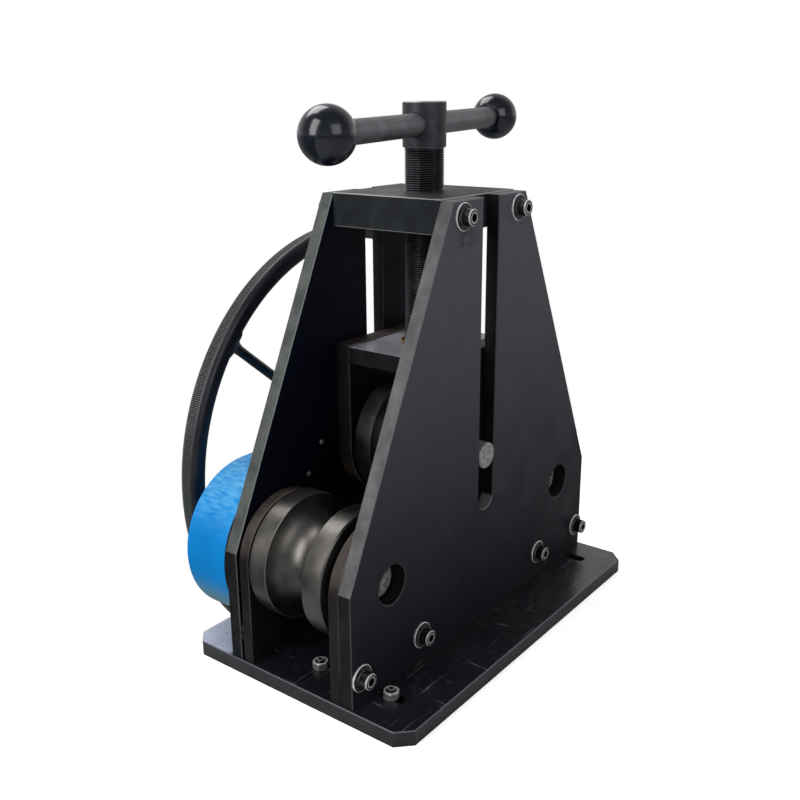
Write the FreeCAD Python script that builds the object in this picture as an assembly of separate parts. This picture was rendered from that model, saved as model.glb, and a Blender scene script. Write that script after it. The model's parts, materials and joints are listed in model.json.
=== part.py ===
import FreeCAD, Part
import math
import os

# Manual three-roll tube and ring bender, in millimetres.
# X runs along the base in the direction the tube travels, Y runs along the
# roller axles, and Z points up.  The origin is on the base plate's underside,
# below the pressure screw.  The handwheel and the gear case are on the +Y side.

V = FreeCAD.Vector

# ---------------------------------------------------------------- dimensions

# general clearances
SLIDE_GAP = 0.3          # between parts that slide or turn past each other
RUNNING_GAP = 0.05       # radial gap of a shaft in its bush
SCREW_GAP = 0.1          # radial gap of the pressure screw in its nut block
EDGE_BREAK = 0.8         # chamfer along the edges of the plates

# base plate
BASE_END = 1.0           # half of how much longer it is than the side plates
BASE_WIDTH = 252.0
BASE_THICK = 14.0
BASE_SHIFT_X = -1.0      # the plate's centre is a little off the screw's axis
BASE_SHIFT_Y = -2.8
BASE_CORNER = 13.0
FOOT_SLOT_END = 37.0     # slot centres from the ends of the side plates
FOOT_SLOT_Y = 86.5
FOOT_SLOT_WIDTH = 11.0
FOOT_SLOT_LENGTH = 25.0

# side plates
PLATE_THICK = 13.0
PLATE_INSIDE = 118.0     # clear width between the two plates
PLATE_FOOT_HALF = 199.0
PLATE_TOP_HALF = 58.0
PLATE_BEND_Z = 118.0
PLATE_TOP_Z = 418.0
GUIDE_SLOT_GAP = 0.1     # gap each side of the pressure axle in its slot
GUIDE_SLOT_BOTTOM_Z = 126.0
SIGHT_HOLE_D = 36.0      # holes in line with the lower roller shafts

# rollers
ROLLER_Z = 107.0         # height of the lower roller axes
ROLLER_D = 116.0
ROLLER_WIDTH = 82.0
GROOVE_RADIUS = 21.2     # for 42.4 mm tube
ROLLER_CHAMFER = 1.5

# lower roller shafts and their bearing plates
SHAFT_D = 30.0
GEAR_SEAT_D = 25.0
BEARING_THICK = 11.0
BEARING_RADIUS = 55.5    # also the distance of the shafts from the plates' ends
BEARING_FAR_GAP = 3.5    # spacer between the far bearing plates and side plate
BUSH_WALL = 3.0
KEY_WIDTH = 8.0
KEY_HEIGHT = 7.0
KEY_SINK = 4.0           # depth of the keyway in the shaft
KEY_TOP_GAP = 0.3
ROLLER_KEY_LENGTH = 40.0
SPACER_WALL = 7.0

# nut block between the tops of the side plates
BLOCK_HEIGHT = 30.0
BLOCK_PROUD = 1.0        # how far its top stands above the side plates

# cap screws and washers on the side plates
SCREW_D = 8.0
SCREW_HEAD_D = 14.3
SCREW_HEAD_H = 9.3
SCREW_HEX = 6.0
SCREW_HEX_DEPTH = 4.5
WASHER_D = 24.0
WASHER_THICK = 2.0
SCREW_HOLE_GAP = 0.4     # radial gap where a screw passes through a plate
TOP_SCREW_X = 44.0
TOP_SCREW_Z = 404.5
FOOT_SCREW_END = 12.0    # outer foot screws from the ends of the side plates
FOOT_SCREW_IN = 40.5     # inner foot screws from the roller shafts, along X
FOOT_SCREW_Z = 40.0
SCREW_BITE = 20.0        # depth of the top screws in the nut block

# countersunk screws: the head is twice the shank's diameter
SUNK_HEAD_RATIO = 2.0
BASE_SCREW_D = 6.0       # from below into the bearing plates
BASE_SCREW_LENGTH = 32.0
BASE_SCREW_OFFSET = 28.0 # along X from the roller shaft
BASE_SCREW_SUNK = 0.4    # the heads sit this far inside the underside

# hold-down studs and nuts on the base
STUD_D = 8.0
STUD_TOP_Z = 22.5
NUT_FLATS = 13.0
NUT_HEIGHT = 6.8
STUD_BOTTOM_Z = 0.5
STUD_IN_SLOT = (-1.3, 1.5)   # from the near front slot's centre
STUD_IN_HOLE = (-22.5, -7.0) # X from the front shaft, Y from the middle

# small plug screws in the inner face of the far side plate
PLUG_D = 5.0
PLUG_DEPTH = 8.0
PLUG_PROUD = 0.6
PLUG_OFFSETS = ((60.2, 82.4), (41.1, 56.2))  # from the front shaft

# yoke that carries the upper roller
YOKE_HALF = 60.0         # half its size along X
YOKE_INSIDE = 85.0       # clear width between the cheeks
YOKE_TOP_Z = 279.0       # top of the yoke's top plate
YOKE_TOP_THICK = 15.0
CHEEK_PROUD = 1.5        # the cheeks stand above the top plate
AXLE_Z = 180.0
AXLE_D = 24.8
AXLE_NEAR_PROUD = 0.6
AXLE_FAR_SHORT = 0.4
YOKE_SCREW_D = 8.0
YOKE_SCREW_X = 36.0
YOKE_SCREW_LENGTH = 38.0
ROLLER_BUSH_WALL = 2.6
ROLLER_BUSH_LENGTH = 34.0
THRUST_WASHER_D = 44.0

# pressure screw
THREAD_D = 36.0
THREAD_PITCH = 2.0
THREAD_DEPTH = 1.2
HEAD_D = 39.0
HEAD_HALF = 19.5         # the head reaches this far above and below the bar
JOURNAL_D = 24.0
THRUST_RING_THICK = 3.0
THRUST_RING_D = 44.0
COLLAR_D = 40.0
COLLAR_HEIGHT = 12.0
COLLAR_PIN_D = 5.0
JOURNAL_TAIL = 4.0       # journal below the collar

# T-handle
BAR_D = 20.0
BAR_RECESS_GAP = 0.55    # radial gap round the bar where it leaves the head
BAR_RECESS_DEPTH = 4.0
BAR_Z = 476.5
BAR_TURN = 10.1          # degrees from X, seen from above
BAR_TILT = 1.2           # degrees, the -X end lower
KNOB_SPAN = 328.0        # between the knob centres
KNOB_D = 45.0
KNOB_FLAT = 26.0         # width of the flat where the bar enters a knob
KNOB_TANG_D = 12.0       # threaded ends of the bar inside the knobs

# gear train, sized from the distance between the roller shafts
MODULE_SHARE = 1 / 47.8333   # module over ROLLER_X, module 3 here
PRESSURE_ANGLE = 20.0
BACKLASH = 0.3
ROLLER_GEAR_TEETH = 30
IDLER_TEETH = 25
PINION_TEETH = 20
GEAR_WIDTH = 20.0
GEAR_START = 12.0        # from the side plate's outer face to the gears
DRIVE_ANGLE = 160.4      # direction of the drive shaft from the rear shaft
IDLER_ANGLE = -10.0      # direction of the front idler from the front shaft
GEAR_WEB_DEPTH = 5.0
GEAR_RIM_WALL = 8.0
GEAR_HUB_D = 42.0

# gear case: a long box with round ends that stop level with the side plates
CASE_INSET = 19.5        # centres of its round ends from the roller shafts, along X
CASE_DROP = 9.0          # and below them
CASE_GEAR_GAP = 2.5      # between the roller gears' tips and the cover's wall
CASE_BACK_THICK = 3.0
CASE_DEPTH = 55.0        # from the side plate's outer face to the front
CASE_WALL = 3.0
CASE_EDGE = 4.0
CASE_BOSS_D = 40.0
CASE_BOSS_OUT = 4.0
PILLAR_D = 12.0
PILLAR_STUD_D = 8.0
# pillars from the point midway between the roller shafts, in shares of ROLLER_X
PILLAR_SHARES = ((-0.5575, -0.4808), (0.5575, -0.4808), (-0.8223, 0.3624),
                 (0.8223, 0.3624))
CASE_SCREW_D = 6.0
CASE_SCREW_HEAD_D = 10.0
CASE_SCREW_HEAD_H = 6.0
CASE_SCREW_LENGTH = 16.0

# drive shaft and idler pins
DRIVE_D = 22.0
DRIVE_COLLAR_D = 30.0
DRIVE_KEY_WIDTH = 6.0
DRIVE_KEY_HEIGHT = 6.0
DRIVE_KEY_SINK = 3.5
IDLER_PIN_D = 14.0
IDLER_COLLAR_D = 22.0
IDLER_BUSH_WALL = 2.5
CLIP_THICK = 1.2
CLIP_D = 20.0
PIN_TAIL = 1.6

# end washers on the roller shafts
END_WASHER_D = 36.0
END_WASHER_THICK = 4.0
END_SCREW_D = 8.0
END_SCREW_LENGTH = 22.0

# handwheel
WHEEL_Y = 159.0
WHEEL_RADIUS = 230.9     # to the middle of the rim
RIM_THICK = 18.6         # radial size of the rim's section
RIM_WIDTH = 22.0         # axial size of the rim's section
RIM_CORNER = 7.5
CORE_RING_D = 7.0        # steel ring inside the moulded rim
SPOKE_D = 10.0
SPOKE_COUNT = 3
SPOKE_ANGLE = 140.7      # direction of the first spoke
WHEEL_HUB_D = 62.0
WHEEL_HUB_LENGTH = 34.0
WHEEL_NECK_D = 38.0
WHEEL_SCREW_D = 8.0
WHEEL_WASHER_D = 34.0
WHEEL_WASHER_THICK = 4.0

# ------------------------------------------------------------ derived values

INNER_Y = PLATE_INSIDE / 2
OUTER_Y = INNER_Y + PLATE_THICK
BASE_LENGTH = 2 * (PLATE_FOOT_HALF + BASE_END)
ROLLER_X = PLATE_FOOT_HALF - BEARING_RADIUS
FOOT_SLOT_X = PLATE_FOOT_HALF - FOOT_SLOT_END
FOOT_SCREW_X = (ROLLER_X - FOOT_SCREW_IN, PLATE_FOOT_HALF - FOOT_SCREW_END)
STUD_PLACES = ((-FOOT_SLOT_X + STUD_IN_SLOT[0], -FOOT_SLOT_Y + STUD_IN_SLOT[1]),
               (-ROLLER_X + STUD_IN_HOLE[0], STUD_IN_HOLE[1]))
PLUG_PLACES = [(-ROLLER_X + dx, ROLLER_Z + dz) for dx, dz in PLUG_OFFSETS]
PILLAR_PLACES = [(ROLLER_X * sx, ROLLER_Z + ROLLER_X * sz) for sx, sz in PILLAR_SHARES]
HEAD_BOTTOM_Z = BAR_Z - HEAD_HALF
HEAD_TOP_Z = BAR_Z + HEAD_HALF
MODULE = ROLLER_X * MODULE_SHARE
BLOCK_TOP_Z = PLATE_TOP_Z + BLOCK_PROUD
BLOCK_BOTTOM_Z = BLOCK_TOP_Z - BLOCK_HEIGHT
GUIDE_SLOT_WIDTH = AXLE_D + 2 * GUIDE_SLOT_GAP
BEARING_NEAR = (-INNER_Y, -INNER_Y + BEARING_THICK)
BEARING_FAR = (INNER_Y - BEARING_FAR_GAP - BEARING_THICK, INNER_Y - BEARING_FAR_GAP)
BUSH_OUT_D = SHAFT_D + 2 * RUNNING_GAP + 2 * BUSH_WALL
ROLLER_HALF = ROLLER_WIDTH / 2
GEAR_Y0 = OUTER_Y + GEAR_START
GEAR_Y1 = GEAR_Y0 + GEAR_WIDTH
BIG_PITCH_R = MODULE * ROLLER_GEAR_TEETH / 2
IDLER_PITCH_R = MODULE * IDLER_TEETH / 2
PINION_PITCH_R = MODULE * PINION_TEETH / 2
CASE_END_X = ROLLER_X - CASE_INSET
CASE_MID_Z = ROLLER_Z - CASE_DROP
CASE_RADIUS = (math.hypot(CASE_INSET, CASE_DROP) + BIG_PITCH_R + MODULE
               + CASE_GEAR_GAP + CASE_WALL)
CASE_FRONT_Y = OUTER_Y + CASE_DEPTH
CASE_INNER_Y = CASE_FRONT_Y - CASE_WALL
CASE_BACK_Y = OUTER_Y + CASE_BACK_THICK
YOKE_INNER_Y = YOKE_INSIDE / 2
YOKE_OUTER_Y = INNER_Y - SLIDE_GAP
YOKE_UNDER_Z = YOKE_TOP_Z - YOKE_TOP_THICK
SCREW_SHOULDER_Z = YOKE_TOP_Z + THRUST_RING_THICK
COLLAR_TOP_Z = YOKE_UNDER_Z - SLIDE_GAP
COLLAR_BOTTOM_Z = COLLAR_TOP_Z - COLLAR_HEIGHT
BOSS_END_Y = CASE_FRONT_Y + CASE_BOSS_OUT
HUB_Y0 = WHEEL_Y - WHEEL_HUB_LENGTH / 2
HUB_Y1 = WHEEL_Y + WHEEL_HUB_LENGTH / 2
BAR_RECESS_R = BAR_D / 2 + BAR_RECESS_GAP
DRIVE_BUSH_D = DRIVE_D + 2 * RUNNING_GAP + 2 * BUSH_WALL
BASE_HEAD_D = BASE_SCREW_D * SUNK_HEAD_RATIO
BASE_SCREW_TIP_Z = BASE_SCREW_SUNK + BASE_SCREW_LENGTH


def polar(centre, radius, degrees):
    """Point at a distance and direction from a centre in the XZ plane."""
    turn = math.radians(degrees)
    return (centre[0] + radius * math.cos(turn), centre[1] + radius * math.sin(turn))


def heading(start, end):
    """Direction in degrees from one XZ point to another."""
    return math.degrees(math.atan2(end[1] - start[1], end[0] - start[0]))


def meet(first, second, reach_first, reach_second):
    """The lower crossing of two circles in the XZ plane."""
    gap = math.dist(first, second)
    along = (reach_first ** 2 - reach_second ** 2 + gap ** 2) / (2 * gap)
    side = math.sqrt(reach_first ** 2 - along ** 2)
    ux = (second[0] - first[0]) / gap
    uz = (second[1] - first[1]) / gap
    return (first[0] + along * ux + side * uz, first[1] + along * uz - side * ux)


FRONT = (-ROLLER_X, ROLLER_Z)
REAR = (ROLLER_X, ROLLER_Z)
DRIVE = polar(REAR, BIG_PITCH_R + PINION_PITCH_R, DRIVE_ANGLE)
IDLER_A = polar(FRONT, BIG_PITCH_R + IDLER_PITCH_R, IDLER_ANGLE)
IDLER_B = meet(IDLER_A, DRIVE, 2 * IDLER_PITCH_R, IDLER_PITCH_R + PINION_PITCH_R)

# ------------------------------------------------------------------- helpers


def save(name, *solids):
    """Write one sub-part, which may hold several separate solids."""
    shape = solids[0] if len(solids) == 1 else Part.makeCompound(list(solids))
    shape.exportStep("parts/" + name + ".step")


def block(x0, x1, y0, y1, z0, z1):
    return Part.makeBox(x1 - x0, y1 - y0, z1 - z0, V(x0, y0, z0))


def rod_y(centre, diameter, y0, y1):
    """Cylinder along Y at an XZ centre."""
    return Part.makeCylinder(diameter / 2, y1 - y0, V(centre[0], y0, centre[1]), V(0, 1, 0))


def rod_z(centre, diameter, z0, z1):
    """Cylinder along Z at an XY centre."""
    return Part.makeCylinder(diameter / 2, z1 - z0, V(centre[0], centre[1], z0))


def tube_y(centre, outer, inner, y0, y1):
    return rod_y(centre, outer, y0, y1).cut(rod_y(centre, inner, y0, y1))


def tube_z(centre, outer, inner, z0, z1):
    return rod_z(centre, outer, z0, z1).cut(rod_z(centre, inner, z0, z1))


def cone_y(centre, d0, d1, y0, y1):
    """Cone along Y, d0 wide at y0 and d1 wide at y1, where y1 may be below y0."""
    way = 1 if y1 > y0 else -1
    return Part.makeCone(d0 / 2, d1 / 2, abs(y1 - y0), V(centre[0], y0, centre[1]), V(0, way, 0))


def prism_y(points, y0, y1):
    """Flat polygon in XZ, carried along Y."""
    corners = [V(x, y0, z) for x, z in points]
    face = Part.Face(Part.makePolygon(corners + corners[:1]))
    return face.extrude(V(0, y1 - y0, 0))


def spin_y(points, centre):
    """Closed outline of (radius, y) points turned about a Y axis.

    A point with a third value is the middle point of an arc."""
    edges = []
    here = points[0]
    middle = None
    for point in points[1:] + points[:1]:
        if len(point) == 3:
            middle = point
            continue
        start = V(centre[0] + here[0], here[1], centre[1])
        end = V(centre[0] + point[0], point[1], centre[1])
        if middle is None:
            edges.append(Part.makeLine(start, end))
        else:
            bow = V(centre[0] + middle[0], middle[1], centre[1])
            edges.append(Part.Arc(start, bow, end).toShape())
        here = point
        middle = None
    face = Part.Face(Part.Wire(edges))
    return face.revolve(V(centre[0], 0, centre[1]), V(0, 1, 0), 360)


def hexagon_rod(centre, flats, start, direction, length):
    """Hexagonal rod from a start value along +Y, -Y or +Z."""
    radius = flats / math.sqrt(3)
    corners = []
    for i in range(6):
        turn = math.radians(60 * i)
        a = radius * math.cos(turn)
        b = radius * math.sin(turn)
        if direction.z:
            corners.append(V(centre[0] + a, centre[1] + b, start))
        else:
            corners.append(V(centre[0] + a, start, centre[1] + b))
    face = Part.Face(Part.makePolygon(corners + corners[:1]))
    return face.extrude(direction * length)


def broken_edges(shape, faces_at, size):
    """Chamfer every edge that lies wholly in one of the given Y planes."""
    chosen = []
    for edge in shape.Edges:
        box = edge.BoundBox
        for y in faces_at:
            if abs(box.YMin - y) < 1e-4 and abs(box.YMax - y) < 1e-4:
                chosen.append(edge)
    return shape.makeChamfer(size, chosen)


def keyway(centre, shaft_d, width, height, sink, top_gap, y0, y1):
    """Space of a key at the top of a shaft, from its seat to the hub's slot."""
    bottom = centre[1] + shaft_d / 2 - sink
    return block(centre[0] - width / 2, centre[0] + width / 2, y0, y1,
                 bottom, bottom + height + top_gap)


def roller_key_space(centre, shaft_d, y0, y1, top_gap=0.0):
    return keyway(centre, shaft_d, KEY_WIDTH, KEY_HEIGHT, KEY_SINK, top_gap, y0, y1)


def drive_key_space(y0, y1, top_gap=0.0):
    return keyway(DRIVE, DRIVE_D, DRIVE_KEY_WIDTH, DRIVE_KEY_HEIGHT, DRIVE_KEY_SINK,
                  top_gap, y0, y1)


# ----------------------------------------------------------------- the gears


def gear_outline(teeth, centre, phase):
    """Involute tooth outline in XZ, with a tooth centred at the phase angle."""
    pitch_r = MODULE * teeth / 2
    base_r = pitch_r * math.cos(math.radians(PRESSURE_ANGLE))
    tip_r = pitch_r + MODULE
    root_r = pitch_r - 1.25 * MODULE

    def unwound(radius):
        slope = math.acos(min(1.0, base_r / radius))
        return math.tan(slope) - slope

    half_tooth = (math.pi * MODULE / 2 - BACKLASH / 2) / (2 * pitch_r)
    start_r = max(base_r, root_r)
    steps = 5
    points = []
    for tooth in range(teeth):
        middle = math.radians(phase) + 2 * math.pi * tooth / teeth
        side = []
        for i in range(steps + 1):
            radius = start_r + (tip_r - start_r) * i / steps
            turn = half_tooth + unwound(pitch_r) - unwound(radius)
            side.append((radius, turn))
        if root_r < base_r:
            side.insert(0, (root_r, side[0][1]))
        for radius, turn in side:
            points.append((radius, middle - turn))
        for radius, turn in reversed(side):
            points.append((radius, middle + turn))
    return [(centre[0] + r * math.cos(a), centre[1] + r * math.sin(a)) for r, a in points]


def mating_phase(teeth, centre, phase, other_teeth, other_centre):
    """Phase angle of the second gear that puts its gap over the first's tooth."""
    way = heading(centre, other_centre)
    step = 360.0 / teeth
    other_step = 360.0 / other_teeth
    offset = ((way - phase) / step) % 1.0
    return way + 180.0 - other_step * (0.5 - offset)


def big_gear(centre, phase):
    """Roller gear: teeth, a web thinned from both faces, bore and keyway."""
    gear = prism_y(gear_outline(ROLLER_GEAR_TEETH, centre, phase), GEAR_Y0, GEAR_Y1)
    web_outer = 2 * (BIG_PITCH_R - 1.25 * MODULE - GEAR_RIM_WALL)
    for y0, y1 in ((GEAR_Y0, GEAR_Y0 + GEAR_WEB_DEPTH), (GEAR_Y1 - GEAR_WEB_DEPTH, GEAR_Y1)):
        gear = gear.cut(tube_y(centre, web_outer, GEAR_HUB_D, y0, y1))
    gear = gear.cut(rod_y(centre, GEAR_SEAT_D, GEAR_Y0, GEAR_Y1))
    return gear.cut(roller_key_space(centre, GEAR_SEAT_D, GEAR_Y0, GEAR_Y1, KEY_TOP_GAP))


def small_gear(teeth, centre, phase, bore):
    gear = prism_y(gear_outline(teeth, centre, phase), GEAR_Y0, GEAR_Y1)
    return gear.cut(rod_y(centre, bore, GEAR_Y0, GEAR_Y1))


REAR_PHASE = 90.0
DRIVE_PHASE = mating_phase(ROLLER_GEAR_TEETH, REAR, REAR_PHASE, PINION_TEETH, DRIVE)
IDLER_B_PHASE = mating_phase(PINION_TEETH, DRIVE, DRIVE_PHASE, IDLER_TEETH, IDLER_B)
IDLER_A_PHASE = mating_phase(IDLER_TEETH, IDLER_B, IDLER_B_PHASE, IDLER_TEETH, IDLER_A)
FRONT_PHASE = mating_phase(IDLER_TEETH, IDLER_A, IDLER_A_PHASE, ROLLER_GEAR_TEETH, FRONT)

# ------------------------------------------------------------ screws and nuts


def cap_screw(centre, seat, way, shank, tip):
    """Cap screw along Y: the seat is the head's underside, the tip its end."""
    outer = seat + way * SCREW_HEAD_H
    head = rod_y(centre, SCREW_HEAD_D, min(seat, outer), max(seat, outer))
    rim = [e for e in head.Edges if abs(e.BoundBox.YMin - outer) < 1e-4
           and abs(e.BoundBox.YMax - outer) < 1e-4]
    head = head.makeFillet(1.0, rim)
    socket = hexagon_rod(centre, SCREW_HEX, outer, V(0, -way, 0), SCREW_HEX_DEPTH)
    return head.cut(socket).fuse(rod_y(centre, shank, min(seat, tip), max(seat, tip)))


def base_screw(centre):
    """Countersunk screw pointing up from the base's underside."""
    head = Part.makeCone(BASE_HEAD_D / 2, BASE_SCREW_D / 2, (BASE_HEAD_D - BASE_SCREW_D) / 2,
                         V(centre[0], centre[1], BASE_SCREW_SUNK))
    return head.fuse(rod_z(centre, BASE_SCREW_D, BASE_SCREW_SUNK, BASE_SCREW_TIP_Z))


def sunk_screw(centre, diameter, start, way, length):
    """Countersunk screw along Y, its head flush with the start value."""
    head_d = diameter * SUNK_HEAD_RATIO
    head_end = start + way * (head_d - diameter) / 2
    end = start + way * length
    shank = rod_y(centre, diameter, min(start, end), max(start, end))
    return cone_y(centre, head_d, diameter, start, head_end).fuse(shank)


def side_screw_places():
    """XZ centres of the screws on one side plate: two at the top, four low."""
    places = [(x, TOP_SCREW_Z) for x in (-TOP_SCREW_X, TOP_SCREW_X)]
    for x in FOOT_SCREW_X:
        places += [(-x, FOOT_SCREW_Z), (x, FOOT_SCREW_Z)]
    return places


def far_foot_screw(centre):
    """Foot screw of the far plate: countersunk, because the gear case covers it."""
    return sunk_screw(centre, SCREW_D, OUTER_Y, -1, OUTER_Y - BEARING_FAR[0])


def base_screw_places():
    """XY centres of the screws that hold the bearing plates to the base."""
    places = []
    for x in (-ROLLER_X, ROLLER_X):
        for span in (BEARING_NEAR, BEARING_FAR):
            for shift in (-BASE_SCREW_OFFSET, BASE_SCREW_OFFSET):
                places.append((x + shift, sum(span) / 2))
    return places


# ----------------------------------------------------------- base and plates


def make_base():
    """Base plate with cropped corners, four foot slots and its screw holes."""
    half_x = BASE_LENGTH / 2
    half_y = BASE_WIDTH / 2
    crop = BASE_CORNER
    centre = V(BASE_SHIFT_X, BASE_SHIFT_Y, 0)
    outline = []
    for sx, sy in ((1, -1), (1, 1), (-1, 1), (-1, -1)):
        along = centre + V(sx * (half_x - crop), sy * half_y, 0)
        across = centre + V(sx * half_x, sy * (half_y - crop), 0)
        outline += [along, across] if sx * sy < 0 else [across, along]
    face = Part.Face(Part.makePolygon(outline + outline[:1]))
    base = face.extrude(V(0, 0, BASE_THICK))
    rims = [e for e in base.Edges if e.BoundBox.ZMin > BASE_THICK - 1e-4]
    base = base.makeChamfer(EDGE_BREAK, rims)
    reach = (FOOT_SLOT_LENGTH - FOOT_SLOT_WIDTH) / 2
    for sx in (-1, 1):
        for sy in (-1, 1):
            x = sx * FOOT_SLOT_X
            y = sy * FOOT_SLOT_Y
            base = base.cut(block(x - FOOT_SLOT_WIDTH / 2, x + FOOT_SLOT_WIDTH / 2,
                                  y - reach, y + reach, 0, BASE_THICK))
            for end in (y - reach, y + reach):
                base = base.cut(rod_z((x, end), FOOT_SLOT_WIDTH, 0, BASE_THICK))
    for centre in base_screw_places():
        base = base.cut(rod_z(centre, BASE_HEAD_D, 0, BASE_SCREW_SUNK))
        base = base.cut(base_screw(centre))
    return base.cut(rod_z(STUD_PLACES[1], STUD_D, 0, BASE_THICK))


def side_plate(y0, y1):
    """Side plate: straight foot, sloping flanks, guide slot and sight holes."""
    outline = ((-PLATE_FOOT_HALF, BASE_THICK), (PLATE_FOOT_HALF, BASE_THICK),
               (PLATE_FOOT_HALF, PLATE_BEND_Z), (PLATE_TOP_HALF, PLATE_TOP_Z),
               (-PLATE_TOP_HALF, PLATE_TOP_Z), (-PLATE_FOOT_HALF, PLATE_BEND_Z))
    plate = prism_y(outline, y0, y1)
    slot_r = GUIDE_SLOT_WIDTH / 2
    slot_z = GUIDE_SLOT_BOTTOM_Z + slot_r
    plate = plate.cut(block(-slot_r, slot_r, y0, y1, slot_z, PLATE_TOP_Z))
    plate = plate.cut(rod_y((0, slot_z), GUIDE_SLOT_WIDTH, y0, y1))
    for centre in (FRONT, REAR):
        plate = plate.cut(rod_y(centre, SIGHT_HOLE_D, y0, y1))
    plate = broken_edges(plate, (y0, y1), EDGE_BREAK)
    for centre in side_screw_places():
        plate = plate.cut(rod_y(centre, SCREW_D + 2 * SCREW_HOLE_GAP, y0, y1))
    return plate


def bearing_plate(centre, span, screw_centres):
    """Upright plate with a round top about the shaft, bored for its bush."""
    y0, y1 = span
    r = BEARING_RADIUS
    plate = block(centre[0] - r, centre[0] + r, y0, y1, BASE_THICK, centre[1])
    plate = plate.fuse(rod_y(centre, 2 * r, y0, y1)).removeSplitter()
    plate = broken_edges(plate, (y0, y1), EDGE_BREAK)
    plate = plate.cut(rod_y(centre, BUSH_OUT_D, y0, y1))
    for x, z in screw_centres:
        plate = plate.cut(rod_y((x, z), SCREW_D, y0, y1))
    for place in base_screw_places():
        if abs(place[0] - centre[0]) < r and y0 < place[1] < y1:
            plate = plate.cut(rod_z(place, BASE_SCREW_D, BASE_THICK, BASE_SCREW_TIP_Z))
    return plate


def foot_screws_at(centre):
    """The foot screws of a side plate that pass into one bearing plate."""
    return [p for p in side_screw_places()
            if p[1] == FOOT_SCREW_Z and abs(p[0] - centre[0]) < BEARING_RADIUS]


def make_block():
    """Nut block between the plates, bored for the pressure screw."""
    nut = block(-PLATE_TOP_HALF, PLATE_TOP_HALF, -INNER_Y, INNER_Y,
                BLOCK_BOTTOM_Z, BLOCK_TOP_Z)
    rims = [e for e in nut.Edges if e.BoundBox.ZMax - e.BoundBox.ZMin < 1e-4]
    nut = nut.makeChamfer(EDGE_BREAK, rims)
    nut = nut.cut(rod_z((0, 0), THREAD_D + 2 * SCREW_GAP, BLOCK_BOTTOM_Z, BLOCK_TOP_Z))
    for x in (-TOP_SCREW_X, TOP_SCREW_X):
        for y0, y1 in ((-INNER_Y, -INNER_Y + SCREW_BITE), (INNER_Y - SCREW_BITE, INNER_Y)):
            nut = nut.cut(rod_y((x, TOP_SCREW_Z), SCREW_D, y0, y1))
    return nut


def save_frame():
    save("base_plate", make_base())
    far_plate = side_plate(INNER_Y, OUTER_Y)
    for centre in side_screw_places():
        if centre[1] == FOOT_SCREW_Z:
            far_plate = far_plate.cut(far_foot_screw(centre))
    for centre, bore in ((DRIVE, DRIVE_BUSH_D), (IDLER_A, IDLER_PIN_D), (IDLER_B, IDLER_PIN_D)):
        far_plate = far_plate.cut(rod_y(centre, bore, INNER_Y, OUTER_Y))
    for centre in PILLAR_PLACES:
        far_plate = far_plate.cut(rod_y(centre, PILLAR_STUD_D, INNER_Y + SLIDE_GAP, OUTER_Y))
    for centre in PLUG_PLACES:
        far_plate = far_plate.cut(rod_y(centre, PLUG_D, INNER_Y, INNER_Y + PLUG_DEPTH))
    save("near_side_plate", side_plate(-OUTER_Y, -INNER_Y))
    save("far_side_plate", far_plate)
    for end, centre in (("front", FRONT), ("rear", REAR)):
        places = foot_screws_at(centre)
        save("near_" + end + "_bearing_plate", bearing_plate(centre, BEARING_NEAR, places))
        save("far_" + end + "_bearing_plate", bearing_plate(centre, BEARING_FAR, places))
    save("nut_block", make_block())


def save_plate_fasteners():
    """Cap screws and washers on both side plates, and the far foot spacers."""
    screws = []
    washers = []
    spacers = []
    seat = OUTER_Y + WASHER_THICK
    for centre in side_screw_places():
        low = centre[1] == FOOT_SCREW_Z
        near_tip = BEARING_NEAR[1] if low else -INNER_Y + SCREW_BITE
        screws.append(cap_screw(centre, -seat, -1, SCREW_D, near_tip))
        washers.append(tube_y(centre, WASHER_D, SCREW_D, -seat, -OUTER_Y))
        if low:
            screws.append(far_foot_screw(centre))
            spacers.append(tube_y(centre, WASHER_D, SCREW_D, BEARING_FAR[1], INNER_Y))
        else:
            screws.append(cap_screw(centre, seat, 1, SCREW_D, INNER_Y - SCREW_BITE))
            washers.append(tube_y(centre, WASHER_D, SCREW_D, OUTER_Y, seat))
    save("side_plate_screws", *screws)
    save("side_plate_washers", *washers)
    save("foot_spacers", *spacers)
    save("base_screws", *[base_screw(centre) for centre in base_screw_places()])


def save_loose_fasteners():
    """Hold-down studs in the base with their hexagon nuts, and the plug screws."""
    studs = [rod_z(centre, STUD_D, STUD_BOTTOM_Z, STUD_TOP_Z) for centre in STUD_PLACES]
    nuts = []
    for centre in STUD_PLACES:
        nut = hexagon_rod(centre, NUT_FLATS, BASE_THICK, V(0, 0, 1), NUT_HEIGHT)
        dome = Part.makeCone(NUT_FLATS / 2 + NUT_HEIGHT, NUT_FLATS / 2 - 0.4, NUT_HEIGHT + 0.4,
                             V(centre[0], centre[1], BASE_THICK))
        nuts.append(nut.common(dome).cut(rod_z(centre, STUD_D, BASE_THICK,
                                               BASE_THICK + NUT_HEIGHT)))
    save("hold_down_studs", *studs)
    save("hold_down_nuts", *nuts)
    save("plug_screws", *[rod_y(c, PLUG_D, INNER_Y - PLUG_PROUD, INNER_Y + PLUG_DEPTH)
                          for c in PLUG_PLACES])


# ------------------------------------------------------------------- rollers


def roller_solid(centre, bore):
    """Grooved roller: two flanges with a half-round groove between them."""
    r = ROLLER_D / 2
    h = ROLLER_HALF
    c = ROLLER_CHAMFER
    g = GROOVE_RADIUS
    outline = [(bore / 2, -h), (r - c, -h), (r, -h + c), (r, -g), (r - g, 0, "arc"),
               (r, g), (r, h - c), (r - c, h), (bore / 2, h)]
    return spin_y(outline, centre)


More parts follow.
